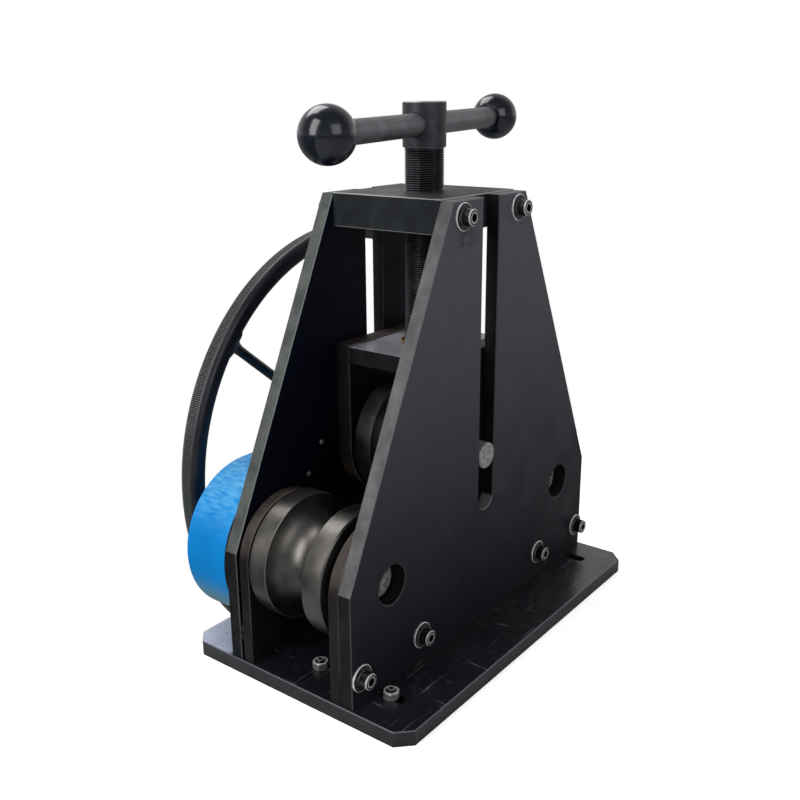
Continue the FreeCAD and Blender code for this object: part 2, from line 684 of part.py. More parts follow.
def save_roll(name, centre, phase):
    """One driven roller shaft with everything that turns on it."""
    near_end = -INNER_Y + SLIDE_GAP
    key_half = ROLLER_KEY_LENGTH / 2
    key_y0 = GEAR_Y0 + 2
    key_y1 = GEAR_Y1 - 2
    seat_end = GEAR_Y1 - 0.5
    shaft = rod_y(centre, SHAFT_D, near_end, GEAR_Y0)
    shaft = shaft.fuse(rod_y(centre, GEAR_SEAT_D, GEAR_Y0, seat_end))
    roller_key = roller_key_space(centre, SHAFT_D, -key_half, key_half)
    gear_key = roller_key_space(centre, GEAR_SEAT_D, key_y0, key_y1)
    screw_start = GEAR_Y1 + END_WASHER_THICK
    screw = sunk_screw(centre, END_SCREW_D, screw_start, -1, END_SCREW_LENGTH)
    shaft = shaft.cut(roller_key).cut(gear_key).cut(screw)
    save(name + "_roll_shaft", shaft)

    roller = roller_solid(centre, SHAFT_D)
    slot = roller_key_space(centre, SHAFT_D, -ROLLER_HALF, ROLLER_HALF, KEY_TOP_GAP)
    save(name + "_roller", roller.cut(slot))
    save(name + "_roll_keys", roller_key, gear_key)
    save(name + "_roll_gear", big_gear(centre, phase))
    spacer_d = SHAFT_D + 2 * SPACER_WALL
    save(name + "_roll_spacers",
         tube_y(centre, spacer_d, SHAFT_D, BEARING_NEAR[1] + SLIDE_GAP, -ROLLER_HALF),
         tube_y(centre, spacer_d, SHAFT_D, ROLLER_HALF, BEARING_FAR[0] - SLIDE_GAP))
    washer = rod_y(centre, END_WASHER_D, GEAR_Y1, screw_start).cut(screw)
    save(name + "_roll_end_washer", washer, screw)


def save_bushes():
    """Bronze bushes: four for the roller shafts, two for the drive shaft."""
    roll_bushes = []
    for centre in (FRONT, REAR):
        for y0, y1 in (BEARING_NEAR, BEARING_FAR):
            roll_bushes.append(tube_y(centre, BUSH_OUT_D, SHAFT_D + 2 * RUNNING_GAP, y0, y1))
    save("roll_shaft_bushes", *roll_bushes)
    bore = DRIVE_D + 2 * RUNNING_GAP
    save("drive_shaft_bushes",
         tube_y(DRIVE, DRIVE_BUSH_D, bore, INNER_Y + SLIDE_GAP, CASE_BACK_Y),
         tube_y(DRIVE, DRIVE_BUSH_D, bore, CASE_INNER_Y, BOSS_END_Y))


# ------------------------------------------------------ gear case and drive


def obround(radius, y0, y1):
    """Long prism with round ends, the outline of the gear case."""
    body = block(-CASE_END_X, CASE_END_X, y0, y1, CASE_MID_Z - radius, CASE_MID_Z + radius)
    for x in (-CASE_END_X, CASE_END_X):
        body = body.fuse(rod_y((x, CASE_MID_Z), 2 * radius, y0, y1))
    return body.removeSplitter()


def rounded_front(shape, y, size):
    """Fillet the edges of the front face of a rounded prism."""
    rims = [e for e in shape.Edges if e.BoundBox.YMin > y - 1e-4]
    return shape.makeFillet(size, rims)


def case_screw(centre):
    outer = CASE_FRONT_Y + CASE_SCREW_HEAD_H
    head = rod_y(centre, CASE_SCREW_HEAD_D, CASE_FRONT_Y, outer)
    rim = [e for e in head.Edges if e.BoundBox.YMin > outer - 1e-4]
    head = head.makeFillet(1.0, rim)
    head = head.cut(hexagon_rod(centre, SCREW_HEX - 1, outer, V(0, -1, 0), SCREW_HEX_DEPTH))
    tip = CASE_INNER_Y - CASE_SCREW_LENGTH
    return head.fuse(rod_y(centre, CASE_SCREW_D, tip, CASE_FRONT_Y))


def save_case():
    back = obround(CASE_RADIUS, OUTER_Y, CASE_BACK_Y)
    for centre in (FRONT, REAR):
        back = back.cut(rod_y(centre, SIGHT_HOLE_D, OUTER_Y, CASE_BACK_Y))
    back = back.cut(rod_y(DRIVE, DRIVE_BUSH_D, OUTER_Y, CASE_BACK_Y))
    for centre in (IDLER_A, IDLER_B):
        back = back.cut(rod_y(centre, IDLER_PIN_D, OUTER_Y, CASE_BACK_Y))
    for centre in PILLAR_PLACES:
        back = back.cut(rod_y(centre, PILLAR_STUD_D, OUTER_Y, CASE_BACK_Y))
    save("gear_case_back", back)

    cover = rounded_front(obround(CASE_RADIUS, CASE_BACK_Y, CASE_FRONT_Y),
                          CASE_FRONT_Y, CASE_EDGE)
    hollow = rounded_front(obround(CASE_RADIUS - CASE_WALL, CASE_BACK_Y, CASE_INNER_Y),
                           CASE_INNER_Y, CASE_EDGE - CASE_WALL)
    cover = cover.cut(hollow)
    cover = cover.fuse(rod_y(DRIVE, CASE_BOSS_D, CASE_INNER_Y, BOSS_END_Y))
    cover = cover.cut(rod_y(DRIVE, DRIVE_BUSH_D, CASE_INNER_Y, BOSS_END_Y))
    for centre in PILLAR_PLACES:
        cover = cover.cut(rod_y(centre, CASE_SCREW_D, CASE_INNER_Y, CASE_FRONT_Y))
    save("gear_case_cover", cover)

    pillars = []
    for centre in PILLAR_PLACES:
        pillar = rod_y(centre, PILLAR_D, CASE_BACK_Y, CASE_INNER_Y)
        pillar = pillar.fuse(rod_y(centre, PILLAR_STUD_D, INNER_Y + SLIDE_GAP, CASE_BACK_Y))
        hole = rod_y(centre, CASE_SCREW_D, CASE_INNER_Y - CASE_SCREW_LENGTH, CASE_INNER_Y)
        pillars.append(pillar.cut(hole))
    save("gear_case_pillars", *pillars)
    save("gear_case_screws", *[case_screw(c) for c in PILLAR_PLACES])


def save_drive():
    """Drive shaft with its pinion, and the handwheel on its outer end."""
    shaft_end = HUB_Y1 - 0.5
    collar_y0 = CASE_BACK_Y + SLIDE_GAP
    shaft = rod_y(DRIVE, DRIVE_D, INNER_Y + SLIDE_GAP, shaft_end)
    shaft = shaft.fuse(rod_y(DRIVE, DRIVE_COLLAR_D, collar_y0, GEAR_Y0))
    pinion_key = drive_key_space(GEAR_Y0 + 2, GEAR_Y1 - 2)
    hub_key = drive_key_space(HUB_Y0 + 4, HUB_Y1 - 4)
    seat = HUB_Y1 + WHEEL_WASHER_THICK
    tip = HUB_Y1 - WHEEL_HUB_LENGTH / 2
    screw = cap_screw(DRIVE, seat, 1, WHEEL_SCREW_D, tip)
    shaft = shaft.cut(pinion_key).cut(hub_key).cut(screw)
    save("drive_shaft", shaft)
    pinion_end = CASE_INNER_Y - SLIDE_GAP
    pinion = small_gear(PINION_TEETH, DRIVE, DRIVE_PHASE, DRIVE_D)
    pinion = pinion.fuse(tube_y(DRIVE, DRIVE_COLLAR_D, DRIVE_D, GEAR_Y1, pinion_end))
    save("drive_pinion", pinion.cut(drive_key_space(GEAR_Y0, pinion_end, KEY_TOP_GAP)))
    save("drive_keys", pinion_key, hub_key)

    hub = rod_y(DRIVE, WHEEL_HUB_D, HUB_Y0, HUB_Y1)
    rims = [e for e in hub.Edges if e.BoundBox.YMax - e.BoundBox.YMin < 1e-4]
    hub = hub.makeFillet(2.0, rims)
    hub = hub.fuse(rod_y(DRIVE, WHEEL_NECK_D, BOSS_END_Y + SLIDE_GAP, HUB_Y0))
    hub = hub.cut(rod_y(DRIVE, DRIVE_D, BOSS_END_Y, HUB_Y1))
    hub = hub.cut(drive_key_space(HUB_Y0, HUB_Y1, KEY_TOP_GAP))
    save("handwheel_hub", hub)
    washer = tube_y(DRIVE, WHEEL_WASHER_D, WHEEL_SCREW_D, HUB_Y1, seat)
    save("handwheel_end_washer", washer, screw)

    a = RIM_THICK / 2
    b = RIM_WIDTH / 2
    c = RIM_CORNER
    bow = c * (1 - math.sqrt(0.5))
    inner = WHEEL_RADIUS - a
    outer = WHEEL_RADIUS + a
    low = WHEEL_Y - b
    high = WHEEL_Y + b
    rim = spin_y([(inner + c, low), (outer - c, low), (outer - bow, low + bow, "arc"),
                  (outer, low + c), (outer, high - c), (outer - bow, high - bow, "arc"),
                  (outer - c, high), (inner + c, high), (inner + bow, high - bow, "arc"),
                  (inner, high - c), (inner, low + c), (inner + bow, low + bow, "arc")],
                 DRIVE)
    core = Part.makeTorus(WHEEL_RADIUS, CORE_RING_D / 2, V(DRIVE[0], WHEEL_Y, DRIVE[1]),
                          V(0, 1, 0))
    spokes = []
    for i in range(SPOKE_COUNT):
        turn = math.radians(SPOKE_ANGLE + i * 360 / SPOKE_COUNT)
        spoke = Part.makeCylinder(SPOKE_D / 2, WHEEL_RADIUS, V(DRIVE[0], WHEEL_Y, DRIVE[1]),
                                  V(math.cos(turn), 0, math.sin(turn)))
        spoke = spoke.cut(rod_y(DRIVE, WHEEL_HUB_D, HUB_Y0, HUB_Y1)).cut(core)
        spokes.append(spoke)
        rim = rim.cut(spoke)
    save("handwheel_rim", rim.cut(core))
    save("handwheel_core_ring", core)
    save("handwheel_spokes", *spokes)


def save_idlers():
    """Idler gears on fixed pins, each with a bronze bush."""
    bush_bore = IDLER_PIN_D + 2 * RUNNING_GAP
    bush_d = bush_bore + 2 * IDLER_BUSH_WALL
    pins = []
    clips = []
    for name, centre, phase in (("a", IDLER_A, IDLER_A_PHASE), ("b", IDLER_B, IDLER_B_PHASE)):
        save("idler_gear_" + name, small_gear(IDLER_TEETH, centre, phase, bush_d))
        save("idler_bush_" + name, tube_y(centre, bush_d, bush_bore, GEAR_Y0, GEAR_Y1))
        clip_y = GEAR_Y1 + SLIDE_GAP
        end = clip_y + CLIP_THICK + PIN_TAIL
        pin = rod_y(centre, IDLER_PIN_D, INNER_Y + SLIDE_GAP, end)
        pin = pin.fuse(rod_y(centre, IDLER_COLLAR_D, CASE_BACK_Y, GEAR_Y0 - SLIDE_GAP))
        clip_seat = IDLER_PIN_D - 1.6
        pin = pin.cut(tube_y(centre, CLIP_D, clip_seat, clip_y, clip_y + CLIP_THICK))
        clip = tube_y(centre, CLIP_D, clip_seat, clip_y, clip_y + CLIP_THICK)
        mouth = block(centre[0] - 3, centre[0] + 3, clip_y, clip_y + CLIP_THICK,
                      centre[1] - CLIP_D, centre[1])
        clips.append(clip.cut(mouth))
        pins.append(pin)
    save("idler_pins", *pins)
    save("idler_clips", *clips)


# --------------------------------------------------------- yoke and pressure


def cheek(y0, y1):
    """Yoke cheek with a round lower end about the axle."""
    plate = block(-YOKE_HALF, YOKE_HALF, y0, y1, AXLE_Z, YOKE_TOP_Z + CHEEK_PROUD)
    plate = plate.fuse(rod_y((0, AXLE_Z), 2 * YOKE_HALF, y0, y1)).removeSplitter()
    plate = broken_edges(plate, (y0, y1), EDGE_BREAK)
    return plate.cut(rod_y((0, AXLE_Z), AXLE_D, y0, y1))


def yoke_screws():
    z = (YOKE_TOP_Z + YOKE_UNDER_Z) / 2
    screws = []
    for x in (-YOKE_SCREW_X, YOKE_SCREW_X):
        for side in (-1, 1):
            screws.append(sunk_screw((x, z), YOKE_SCREW_D, side * YOKE_OUTER_Y, -side,
                                     YOKE_SCREW_LENGTH))
    return screws


def save_yoke():
    screws = yoke_screws()
    near = cheek(-YOKE_OUTER_Y, -YOKE_INNER_Y)
    far = cheek(YOKE_INNER_Y, YOKE_OUTER_Y)
    top = block(-YOKE_HALF, YOKE_HALF, -YOKE_INNER_Y, YOKE_INNER_Y, YOKE_UNDER_Z, YOKE_TOP_Z)
    top = top.cut(rod_z((0, 0), JOURNAL_D + 2 * SCREW_GAP, YOKE_UNDER_Z, YOKE_TOP_Z))
    for screw in screws:
        near = near.cut(screw)
        far = far.cut(screw)
        top = top.cut(screw)
    save("yoke_near_cheek", near)
    save("yoke_far_cheek", far)
    save("yoke_top_plate", top)
    save("yoke_screws", *screws)
    axle = rod_y((0, AXLE_Z), AXLE_D, -OUTER_Y - AXLE_NEAR_PROUD, OUTER_Y - AXLE_FAR_SHORT)
    rims = [e for e in axle.Edges if e.BoundBox.YMax - e.BoundBox.YMin < 1e-4]
    save("pressure_axle", axle.makeChamfer(EDGE_BREAK, rims))
    washer_in = ROLLER_HALF + SLIDE_GAP
    save("roller_thrust_washers",
         tube_y((0, AXLE_Z), THRUST_WASHER_D, AXLE_D, -YOKE_INNER_Y, -washer_in),
         tube_y((0, AXLE_Z), THRUST_WASHER_D, AXLE_D, washer_in, YOKE_INNER_Y))
    save("screw_thrust_ring", tube_z((0, 0), THRUST_RING_D, JOURNAL_D + 2 * SCREW_GAP,
                                     YOKE_TOP_Z, YOKE_TOP_Z + THRUST_RING_THICK - SLIDE_GAP))


def save_upper_roller():
    bore = AXLE_D + 2 * RUNNING_GAP
    bush_d = bore + 2 * ROLLER_BUSH_WALL
    save("upper_roller", roller_solid((0, AXLE_Z), bush_d))
    save("upper_roller_bushes",
         tube_y((0, AXLE_Z), bush_d, bore, -ROLLER_HALF, -ROLLER_HALF + ROLLER_BUSH_LENGTH),
         tube_y((0, AXLE_Z), bush_d, bore, ROLLER_HALF - ROLLER_BUSH_LENGTH, ROLLER_HALF))


def bar_frame():
    """Point and direction of the T-handle bar's axis."""
    turn = math.radians(BAR_TURN)
    tilt = math.radians(BAR_TILT)
    way = V(math.cos(turn) * math.cos(tilt), math.sin(turn) * math.cos(tilt), math.sin(tilt))
    return V(0, 0, BAR_Z), way


def make_screw():
    """Pressure screw: head, ring-grooved thread, journal for the yoke."""
    crest = THREAD_D / 2
    root = crest - THREAD_DEPTH
    outline = [V(0, 0, HEAD_TOP_Z), V(HEAD_D / 2 - 1, 0, HEAD_TOP_Z),
               V(HEAD_D / 2, 0, HEAD_TOP_Z - 1), V(HEAD_D / 2, 0, HEAD_BOTTOM_Z),
               V(crest, 0, HEAD_BOTTOM_Z)]
    length = HEAD_BOTTOM_Z - SCREW_SHOULDER_Z
    turns = int(length / THREAD_PITCH) - 1
    for i in range(turns):
        z = HEAD_BOTTOM_Z - THREAD_PITCH * (i + 0.5)
        outline.append(V(crest, 0, z))
        outline.append(V(root, 0, z - THREAD_PITCH * 0.45))
        outline.append(V(crest, 0, z - THREAD_PITCH * 0.9))
    journal = JOURNAL_D / 2
    tail = COLLAR_BOTTOM_Z - JOURNAL_TAIL
    outline += [V(crest, 0, SCREW_SHOULDER_Z), V(journal, 0, SCREW_SHOULDER_Z),
                V(journal, 0, tail), V(0, 0, tail)]
    face = Part.Face(Part.makePolygon(outline + outline[:1]))
    screw = face.revolve(V(0, 0, 0), V(0, 0, 1), 360)
    middle, way = bar_frame()
    screw = screw.cut(Part.makeCylinder(BAR_D / 2, 2 * HEAD_D, middle - way * HEAD_D, way))
    recess_start = HEAD_D / 2 - BAR_RECESS_DEPTH
    for side in (-1, 1):
        start = middle + way * (side * recess_start)
        screw = screw.cut(Part.makeCylinder(BAR_RECESS_R, HEAD_D, start, way * side))
    return screw


def save_screw():
    pin_z = (COLLAR_TOP_Z + COLLAR_BOTTOM_Z) / 2
    pin = rod_y((0, pin_z), COLLAR_PIN_D, -COLLAR_D / 2 + 1, COLLAR_D / 2 - 1)
    save("pressure_screw", make_screw().cut(pin))
    collar = tube_z((0, 0), COLLAR_D, JOURNAL_D, COLLAR_BOTTOM_Z, COLLAR_TOP_Z)
    save("screw_collar", collar.cut(pin), pin)


def save_handle():
    """Bar pressed through the screw's head, with a ball knob screwed on each end."""
    middle, way = bar_frame()
    half = KNOB_SPAN / 2
    neck = math.sqrt((KNOB_D / 2) ** 2 - (KNOB_FLAT / 2) ** 2)
    bar = Part.makeCylinder(BAR_D / 2, KNOB_SPAN - 2 * neck, middle - way * (half - neck), way)
    knobs = []
    for side in (-1, 1):
        out = way * side
        centre = middle + out * half
        tang = Part.makeCylinder(KNOB_TANG_D / 2, neck + KNOB_TANG_D / 2, centre - out * neck, out)
        bar = bar.fuse(tang)
        knob = Part.makeSphere(KNOB_D / 2, centre)
        knob = knob.cut(Part.makeCylinder(KNOB_D, KNOB_D, centre - out * neck, out * -1))
        knobs.append(knob.cut(tang))
    save("t_handle_bar", bar)
    save("t_handle_knobs", *knobs)


# --------------------------------------------------------------------- build

os.makedirs("parts", exist_ok=True)
save_frame()
save_plate_fasteners()
save_loose_fasteners()
save_roll("front", FRONT, FRONT_PHASE)
save_roll("rear", REAR, REAR_PHASE)
save_bushes()
save_case()
save_drive()
save_idlers()
save_yoke()
save_upper_roller()
save_screw()
save_handle()
print("drive shaft at", [round(v, 3) for v in DRIVE])
print("idlers at", [round(v, 3) for v in IDLER_A + IDLER_B])
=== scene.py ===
# %% [markdown]
# # Ring roller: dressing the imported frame
#
# The machine bends tube or flat bar between three grooved rollers.  A handwheel
# drives the two lower rollers through a gear case, and a long screw with a
# T-handle presses the upper roller down between two tapered side plates.
#
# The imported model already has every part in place, so this notebook adds what a
# solid modeller leaves out: smooth turned surfaces, a true screw thread, ribs,
# sockets, and a finish for every part.  Lengths are written in millimetres and
# turned to metres when a mesh is made.

# %% Load the frame and keep its box
import json
import math

import bmesh
import bpy
import numpy as np
from mathutils import Matrix, Vector


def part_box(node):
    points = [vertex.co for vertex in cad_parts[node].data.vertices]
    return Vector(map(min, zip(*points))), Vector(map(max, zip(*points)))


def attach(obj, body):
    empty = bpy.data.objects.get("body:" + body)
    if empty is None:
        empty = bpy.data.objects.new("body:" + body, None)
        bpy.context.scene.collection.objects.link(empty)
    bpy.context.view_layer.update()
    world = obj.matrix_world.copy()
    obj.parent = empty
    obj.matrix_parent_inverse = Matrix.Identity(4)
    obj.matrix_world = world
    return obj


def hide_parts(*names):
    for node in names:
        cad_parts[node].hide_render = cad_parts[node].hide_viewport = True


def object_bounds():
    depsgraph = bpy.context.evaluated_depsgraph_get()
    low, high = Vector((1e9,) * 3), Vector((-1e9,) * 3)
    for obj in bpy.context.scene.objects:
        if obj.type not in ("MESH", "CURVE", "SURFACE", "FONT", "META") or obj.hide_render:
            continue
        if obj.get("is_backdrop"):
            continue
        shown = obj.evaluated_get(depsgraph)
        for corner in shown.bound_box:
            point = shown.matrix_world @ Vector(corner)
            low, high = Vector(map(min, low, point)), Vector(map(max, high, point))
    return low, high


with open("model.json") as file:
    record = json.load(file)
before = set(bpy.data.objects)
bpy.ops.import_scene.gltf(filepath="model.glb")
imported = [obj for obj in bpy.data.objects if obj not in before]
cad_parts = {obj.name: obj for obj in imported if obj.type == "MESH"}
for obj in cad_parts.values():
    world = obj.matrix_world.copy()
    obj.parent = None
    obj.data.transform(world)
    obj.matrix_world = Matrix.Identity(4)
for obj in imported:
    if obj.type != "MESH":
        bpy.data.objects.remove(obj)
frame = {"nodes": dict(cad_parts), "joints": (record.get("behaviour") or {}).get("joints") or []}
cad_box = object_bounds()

MM = 0.001
JOINTS = {joint["name"]: [round(v / MM, 3) for v in joint["pos_m"]]
          for joint in frame["joints"] if joint.get("pos_m")}


def span(node, axis):
    """Lowest and highest place of a CAD node along an axis, in mm to the micron."""
    return [round(corner["XYZ".index(axis)] / MM, 3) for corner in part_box(node)]


print("box in mm:", [[round(v / MM, 1) for v in corner] for corner in cad_box])

# %% [markdown]
# ## Camera, light and floor
#
# The camera stands in front and to the left, a little above the machine, with a
# lens of about 43 mm.  Its place and its three directions are given as numbers,
# so the small roll of a hand-held camera is in them too.
#
# The machine is made for a bench edge, because the handwheel reaches below its
# base.  The floor is therefore a wide pale bench top that ends just before the
# wheel.  A thin glow, seen by the camera only, lifts its pale colour to the white
# of the world behind it, and the shadow stays.

# %% Camera
camera_place = Vector((-0.713700, -0.521042, 0.499712))
camera_right = Vector((0.60903727, -0.79311328, -0.00670265))
camera_up = Vector((0.24263564, 0.17826269, 0.95359864))
camera_forward = Vector((0.75511691, 0.58240341, -0.30100617))
FOCAL_PIXELS, PICTURE_WIDTH = 960.69, 800

camera_data = bpy.data.cameras.new("camera")
camera_data.sensor_width = 36
camera_data.lens = FOCAL_PIXELS * camera_data.sensor_width / PICTURE_WIDTH
camera_data.clip_start = 0.01
camera = bpy.data.objects.new("camera", camera_data)
turn = Matrix((camera_right, camera_up, -camera_forward)).transposed()
camera.matrix_world = Matrix.Translation(camera_place) @ turn.to_4x4()
bpy.context.scene.collection.objects.link(camera)
bpy.context.scene.camera = camera
bpy.context.scene.view_settings.view_transform = "Standard"
print("lens:", round(camera_data.lens, 2), "mm")

# %% Colours and nodes
def srgb(code):
    """Linear colour of a hex code such as "#1d1f22": each share v of the sRGB
    scale becomes v / 12.92 where it is small, and ((v + 0.055) / 1.055) ** 2.4."""
    share = np.array([int(code[i:i + 2], 16) for i in (1, 3, 5)]) / 255
    linear = np.where(share <= 0.04045, share / 12.92, ((share + 0.055) / 1.055) ** 2.4)
    return (*linear.tolist(), 1.0)


def wire(node, inputs):
    """Fills a node's sockets, by name or number.  A value may be a plain one, a
    hex colour, an output to link, or a node, whose first output in use is linked."""
    for key, value in inputs.items():
        if isinstance(value, bpy.types.Node):
            value = next(output for output in value.outputs if output.enabled)
        if isinstance(value, bpy.types.NodeSocket):
            node.id_data.links.new(value, node.inputs[key])
        else:
            node.inputs[key].default_value = srgb(value) if isinstance(value, str) else value


def add(tree, kind, inputs=None, stops=(), **settings):
    """Adds one node with its attributes, its sockets and a colour ramp's stops."""
    node = tree.nodes.new("ShaderNode" + kind)
    for key, value in settings.items():
        setattr(node, key, value)
    for number, (place, colour) in enumerate(stops):
        ramp = node.color_ramp.elements
        stop = ramp[number] if number < len(ramp) else ramp.new(place)
        stop.position = place
        stop.color = srgb(colour) if isinstance(colour, str) else (colour,) * 3 + (1,)
    wire(node, inputs or {})
    return node


COLOUR = {"data_type": "RGBA"}
SOFT = {"interpolation_type": "SMOOTHSTEP"}

# %% World: white behind, plain light
world = bpy.data.worlds.new("plain_studio")
bpy.context.scene.world = world
world.use_nodes = True
tree = world.node_tree
tree.nodes.clear()
rays = add(tree, "LightPath")
seen = add(tree, "Math", {0: rays.outputs["Is Camera Ray"], 1: rays.outputs["Is Transmission Ray"]},
           operation="MAXIMUM")
direction = add(tree, "TexCoord").outputs["Generated"]
height = add(tree, "SeparateXYZ", {0: direction}).outputs["Z"]
# a studio as its mirror image shows it: darker below, pale walls, a dimmer ceiling
room = add(tree, "ValToRGB", {0: add(tree, "MapRange", {0: height, 1: -1.0, 2: 1.0})},
           stops=[(0.0, 0.15), (0.47, 0.3), (0.52, 0.95), (0.7, 0.6), (1.0, 0.35)])
# the white wall stands behind the machine, and the room in front of it is dim
wall_way = (0.79, 0.61, 0)
behind = add(tree, "VectorMath", {0: direction, 1: wall_way}, operation="DOT_PRODUCT")
wall = add(tree, "MapRange", {0: behind, 1: 0.0, 2: 0.6, 3: 0.3, 4: 1.0}, **SOFT)
mirrored = add(tree, "Background", {0: room, 1: wall})
diffuse = add(tree, "Background", {0: "#f4f8ff", 1: 0.42})
white = add(tree, "Background", {0: (1, 1, 1, 1), 1: 1.0})
lit = add(tree, "MixShader", {0: rays.outputs["Is Glossy Ray"], 1: diffuse, 2: mirrored})
add(tree, "OutputWorld", {0: add(tree, "MixShader", {0: seen, 1: lit, 2: white})})


# %% Lamps: a wide one from the left, one behind, a weak one in front
def lamp(name, place, target, width, tall, watts):
    """A soft oblong lamp that faces a target."""
    data = bpy.data.lights.new(name, "AREA")
    data.shape = "RECTANGLE"
    data.size = width
    data.size_y = tall
    data.energy = watts
    made = bpy.data.objects.new(name, data)
    bpy.context.scene.collection.objects.link(made)
    made.location = place
    made.rotation_euler = (Vector(target) - Vector(place)).to_track_quat("-Z", "Y").to_euler()


aim = (0, 0, 0.2)
lamp("left_window", (-2.1, 0.5, 1.5), aim, 1.1, 2.2, 34)
lamp("ceiling_panel", (0.3, 1.4, 2.3), aim, 1.5, 1.5, 30)
lamp("front_fill", (-0.6, -2.4, 1.4), aim, 1.6, 1.6, 12)

# %% Bench top
def bench_top(x0, x1, y0, y1, thick):
    """A slab whose upper face is at height 0, as one box of six faces."""
    mesh = bpy.data.meshes.new("bench_top")
    xs, ys, zs = np.meshgrid((x0, x1), (y0, y1), (-thick, 0), indexing="ij")
    corners = np.stack([xs, ys, zs], -1).reshape(-1, 3) * MM
    faces = [(0, 1, 3, 2), (4, 6, 7, 5), (0, 4, 5, 1), (2, 3, 7, 6), (0, 2, 6, 4), (1, 5, 7, 3)]
    mesh.from_pydata(corners.tolist(), [], faces)
    made = bpy.data.objects.new("bench_top", mesh)
    bpy.context.scene.collection.objects.link(made)
    made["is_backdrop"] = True
    return made


# the bench ends between the base, which reaches back to 123 mm, and the wheel
BENCH_EDGE = 125.5
bench = bench_top(-3000, 3000, -4000, BENCH_EDGE, 30)
paint = bpy.data.materials.new("pale_bench")
paint.use_nodes = True
tree = paint.node_tree
tree.nodes.clear()
rays = add(tree, "LightPath")
grey = add(tree, "BsdfDiffuse", {0: "#a6a6a6"})
pale = add(tree, "BsdfDiffuse", {0: "#f0f0f0"})
glow = add(tree, "Emission", {0: (1, 1, 1, 1), 1: 0.6})
both = add(tree, "AddShader", {0: pale, 1: glow})
out = add(tree, "MixShader", {0: rays.outputs["Is Camera Ray"], 1: grey, 2: both})
add(tree, "OutputMaterial", {0: out})
bench.data.materials.append(paint)

# %% [markdown]
# ## Finishes
#
# Every finish starts from the real surface: what the metal or plastic is, and
# how the surface was made.  Patterns are placed by Object coordinates, which
# are in metres, so a noise scale of 1000 / 55 gives clouds about 55 mm across.
#
# The plates are one family: hot-rolled steel, sawn to shape, blackened in a hot
# bath and oiled.  The wide faces are a satin black, painted greyer high up as a
# sheen of the light above.  Sawn edges that slope or look up are painted paler,
# as lit from above, while upright edges and the walls of the slots are painted
# darker, as in shade.  A thin bright line is left where a corner was broken
# with a file, and it is painted dimmer where the edge beside it is in shade.
# The facing direction sorts these out, so one tree paints every plate.

# %% A new material with its shader
def finish(name, **values):
    """A material whose one shader takes plain values by socket name."""
    made = bpy.data.materials.new(name)
    made.use_nodes = True
    shader = made.node_tree.nodes["Principled BSDF"]
    for key, value in values.items():
        shader.inputs[key.replace("_", " ")].default_value = value
    return made, made.node_tree, shader


def surface(tree, shader, colour, mottle, rough, relief, strength, deep, ends=(0.3, 0.7)):
    """Wires a shader: its colour, a roughness that goes from one value of rough to
    the other as mottle goes from one end to the other, and relief as a bump that
    is deep mm high."""
    rough_now = add(tree, "MapRange", {0: mottle, 1: ends[0], 2: ends[1], 3: rough[0], 4: rough[1]})
    bump = add(tree, "Bump", {"Height": relief, "Strength": strength, "Distance": deep * MM})
    wire(shader, {"Base Color": colour, "Roughness": rough_now, "Normal": bump})


def streaks(tree, place, stretch, detail):
    """Noise drawn out to lengths of about stretch, in mm, along X, Y and Z."""
    drawn = add(tree, "Mapping", {"Vector": place, "Scale": [1000 / size for size in stretch]})
    return add(tree, "TexNoise", {"Vector": drawn, "Scale": 1.0, "Detail": detail})


def closeness(tree, place, centre, inner, outer, squash=1.0, both_ends=False):
    """1 within inner mm of the (X, Z) place centre, falling to 0 at outer mm, at
    any depth.  squash makes the spot flatter, and both_ends repeats it at -X."""
    if both_ends:
        place = add(tree, "VectorMath", {0: place}, operation="ABSOLUTE")
    away = add(tree, "VectorMath", {0: place, 1: (centre[0] * MM, 0, centre[1] * MM)},
               operation="SUBTRACT")
    flat = add(tree, "VectorMath", {0: away, 1: (1, 0, squash)}, operation="MULTIPLY")
    far = add(tree, "VectorMath", {0: flat}, operation="LENGTH")
    return add(tree, "MapRange", {0: far, 1: outer * MM, 2: inner * MM}, **SOFT)


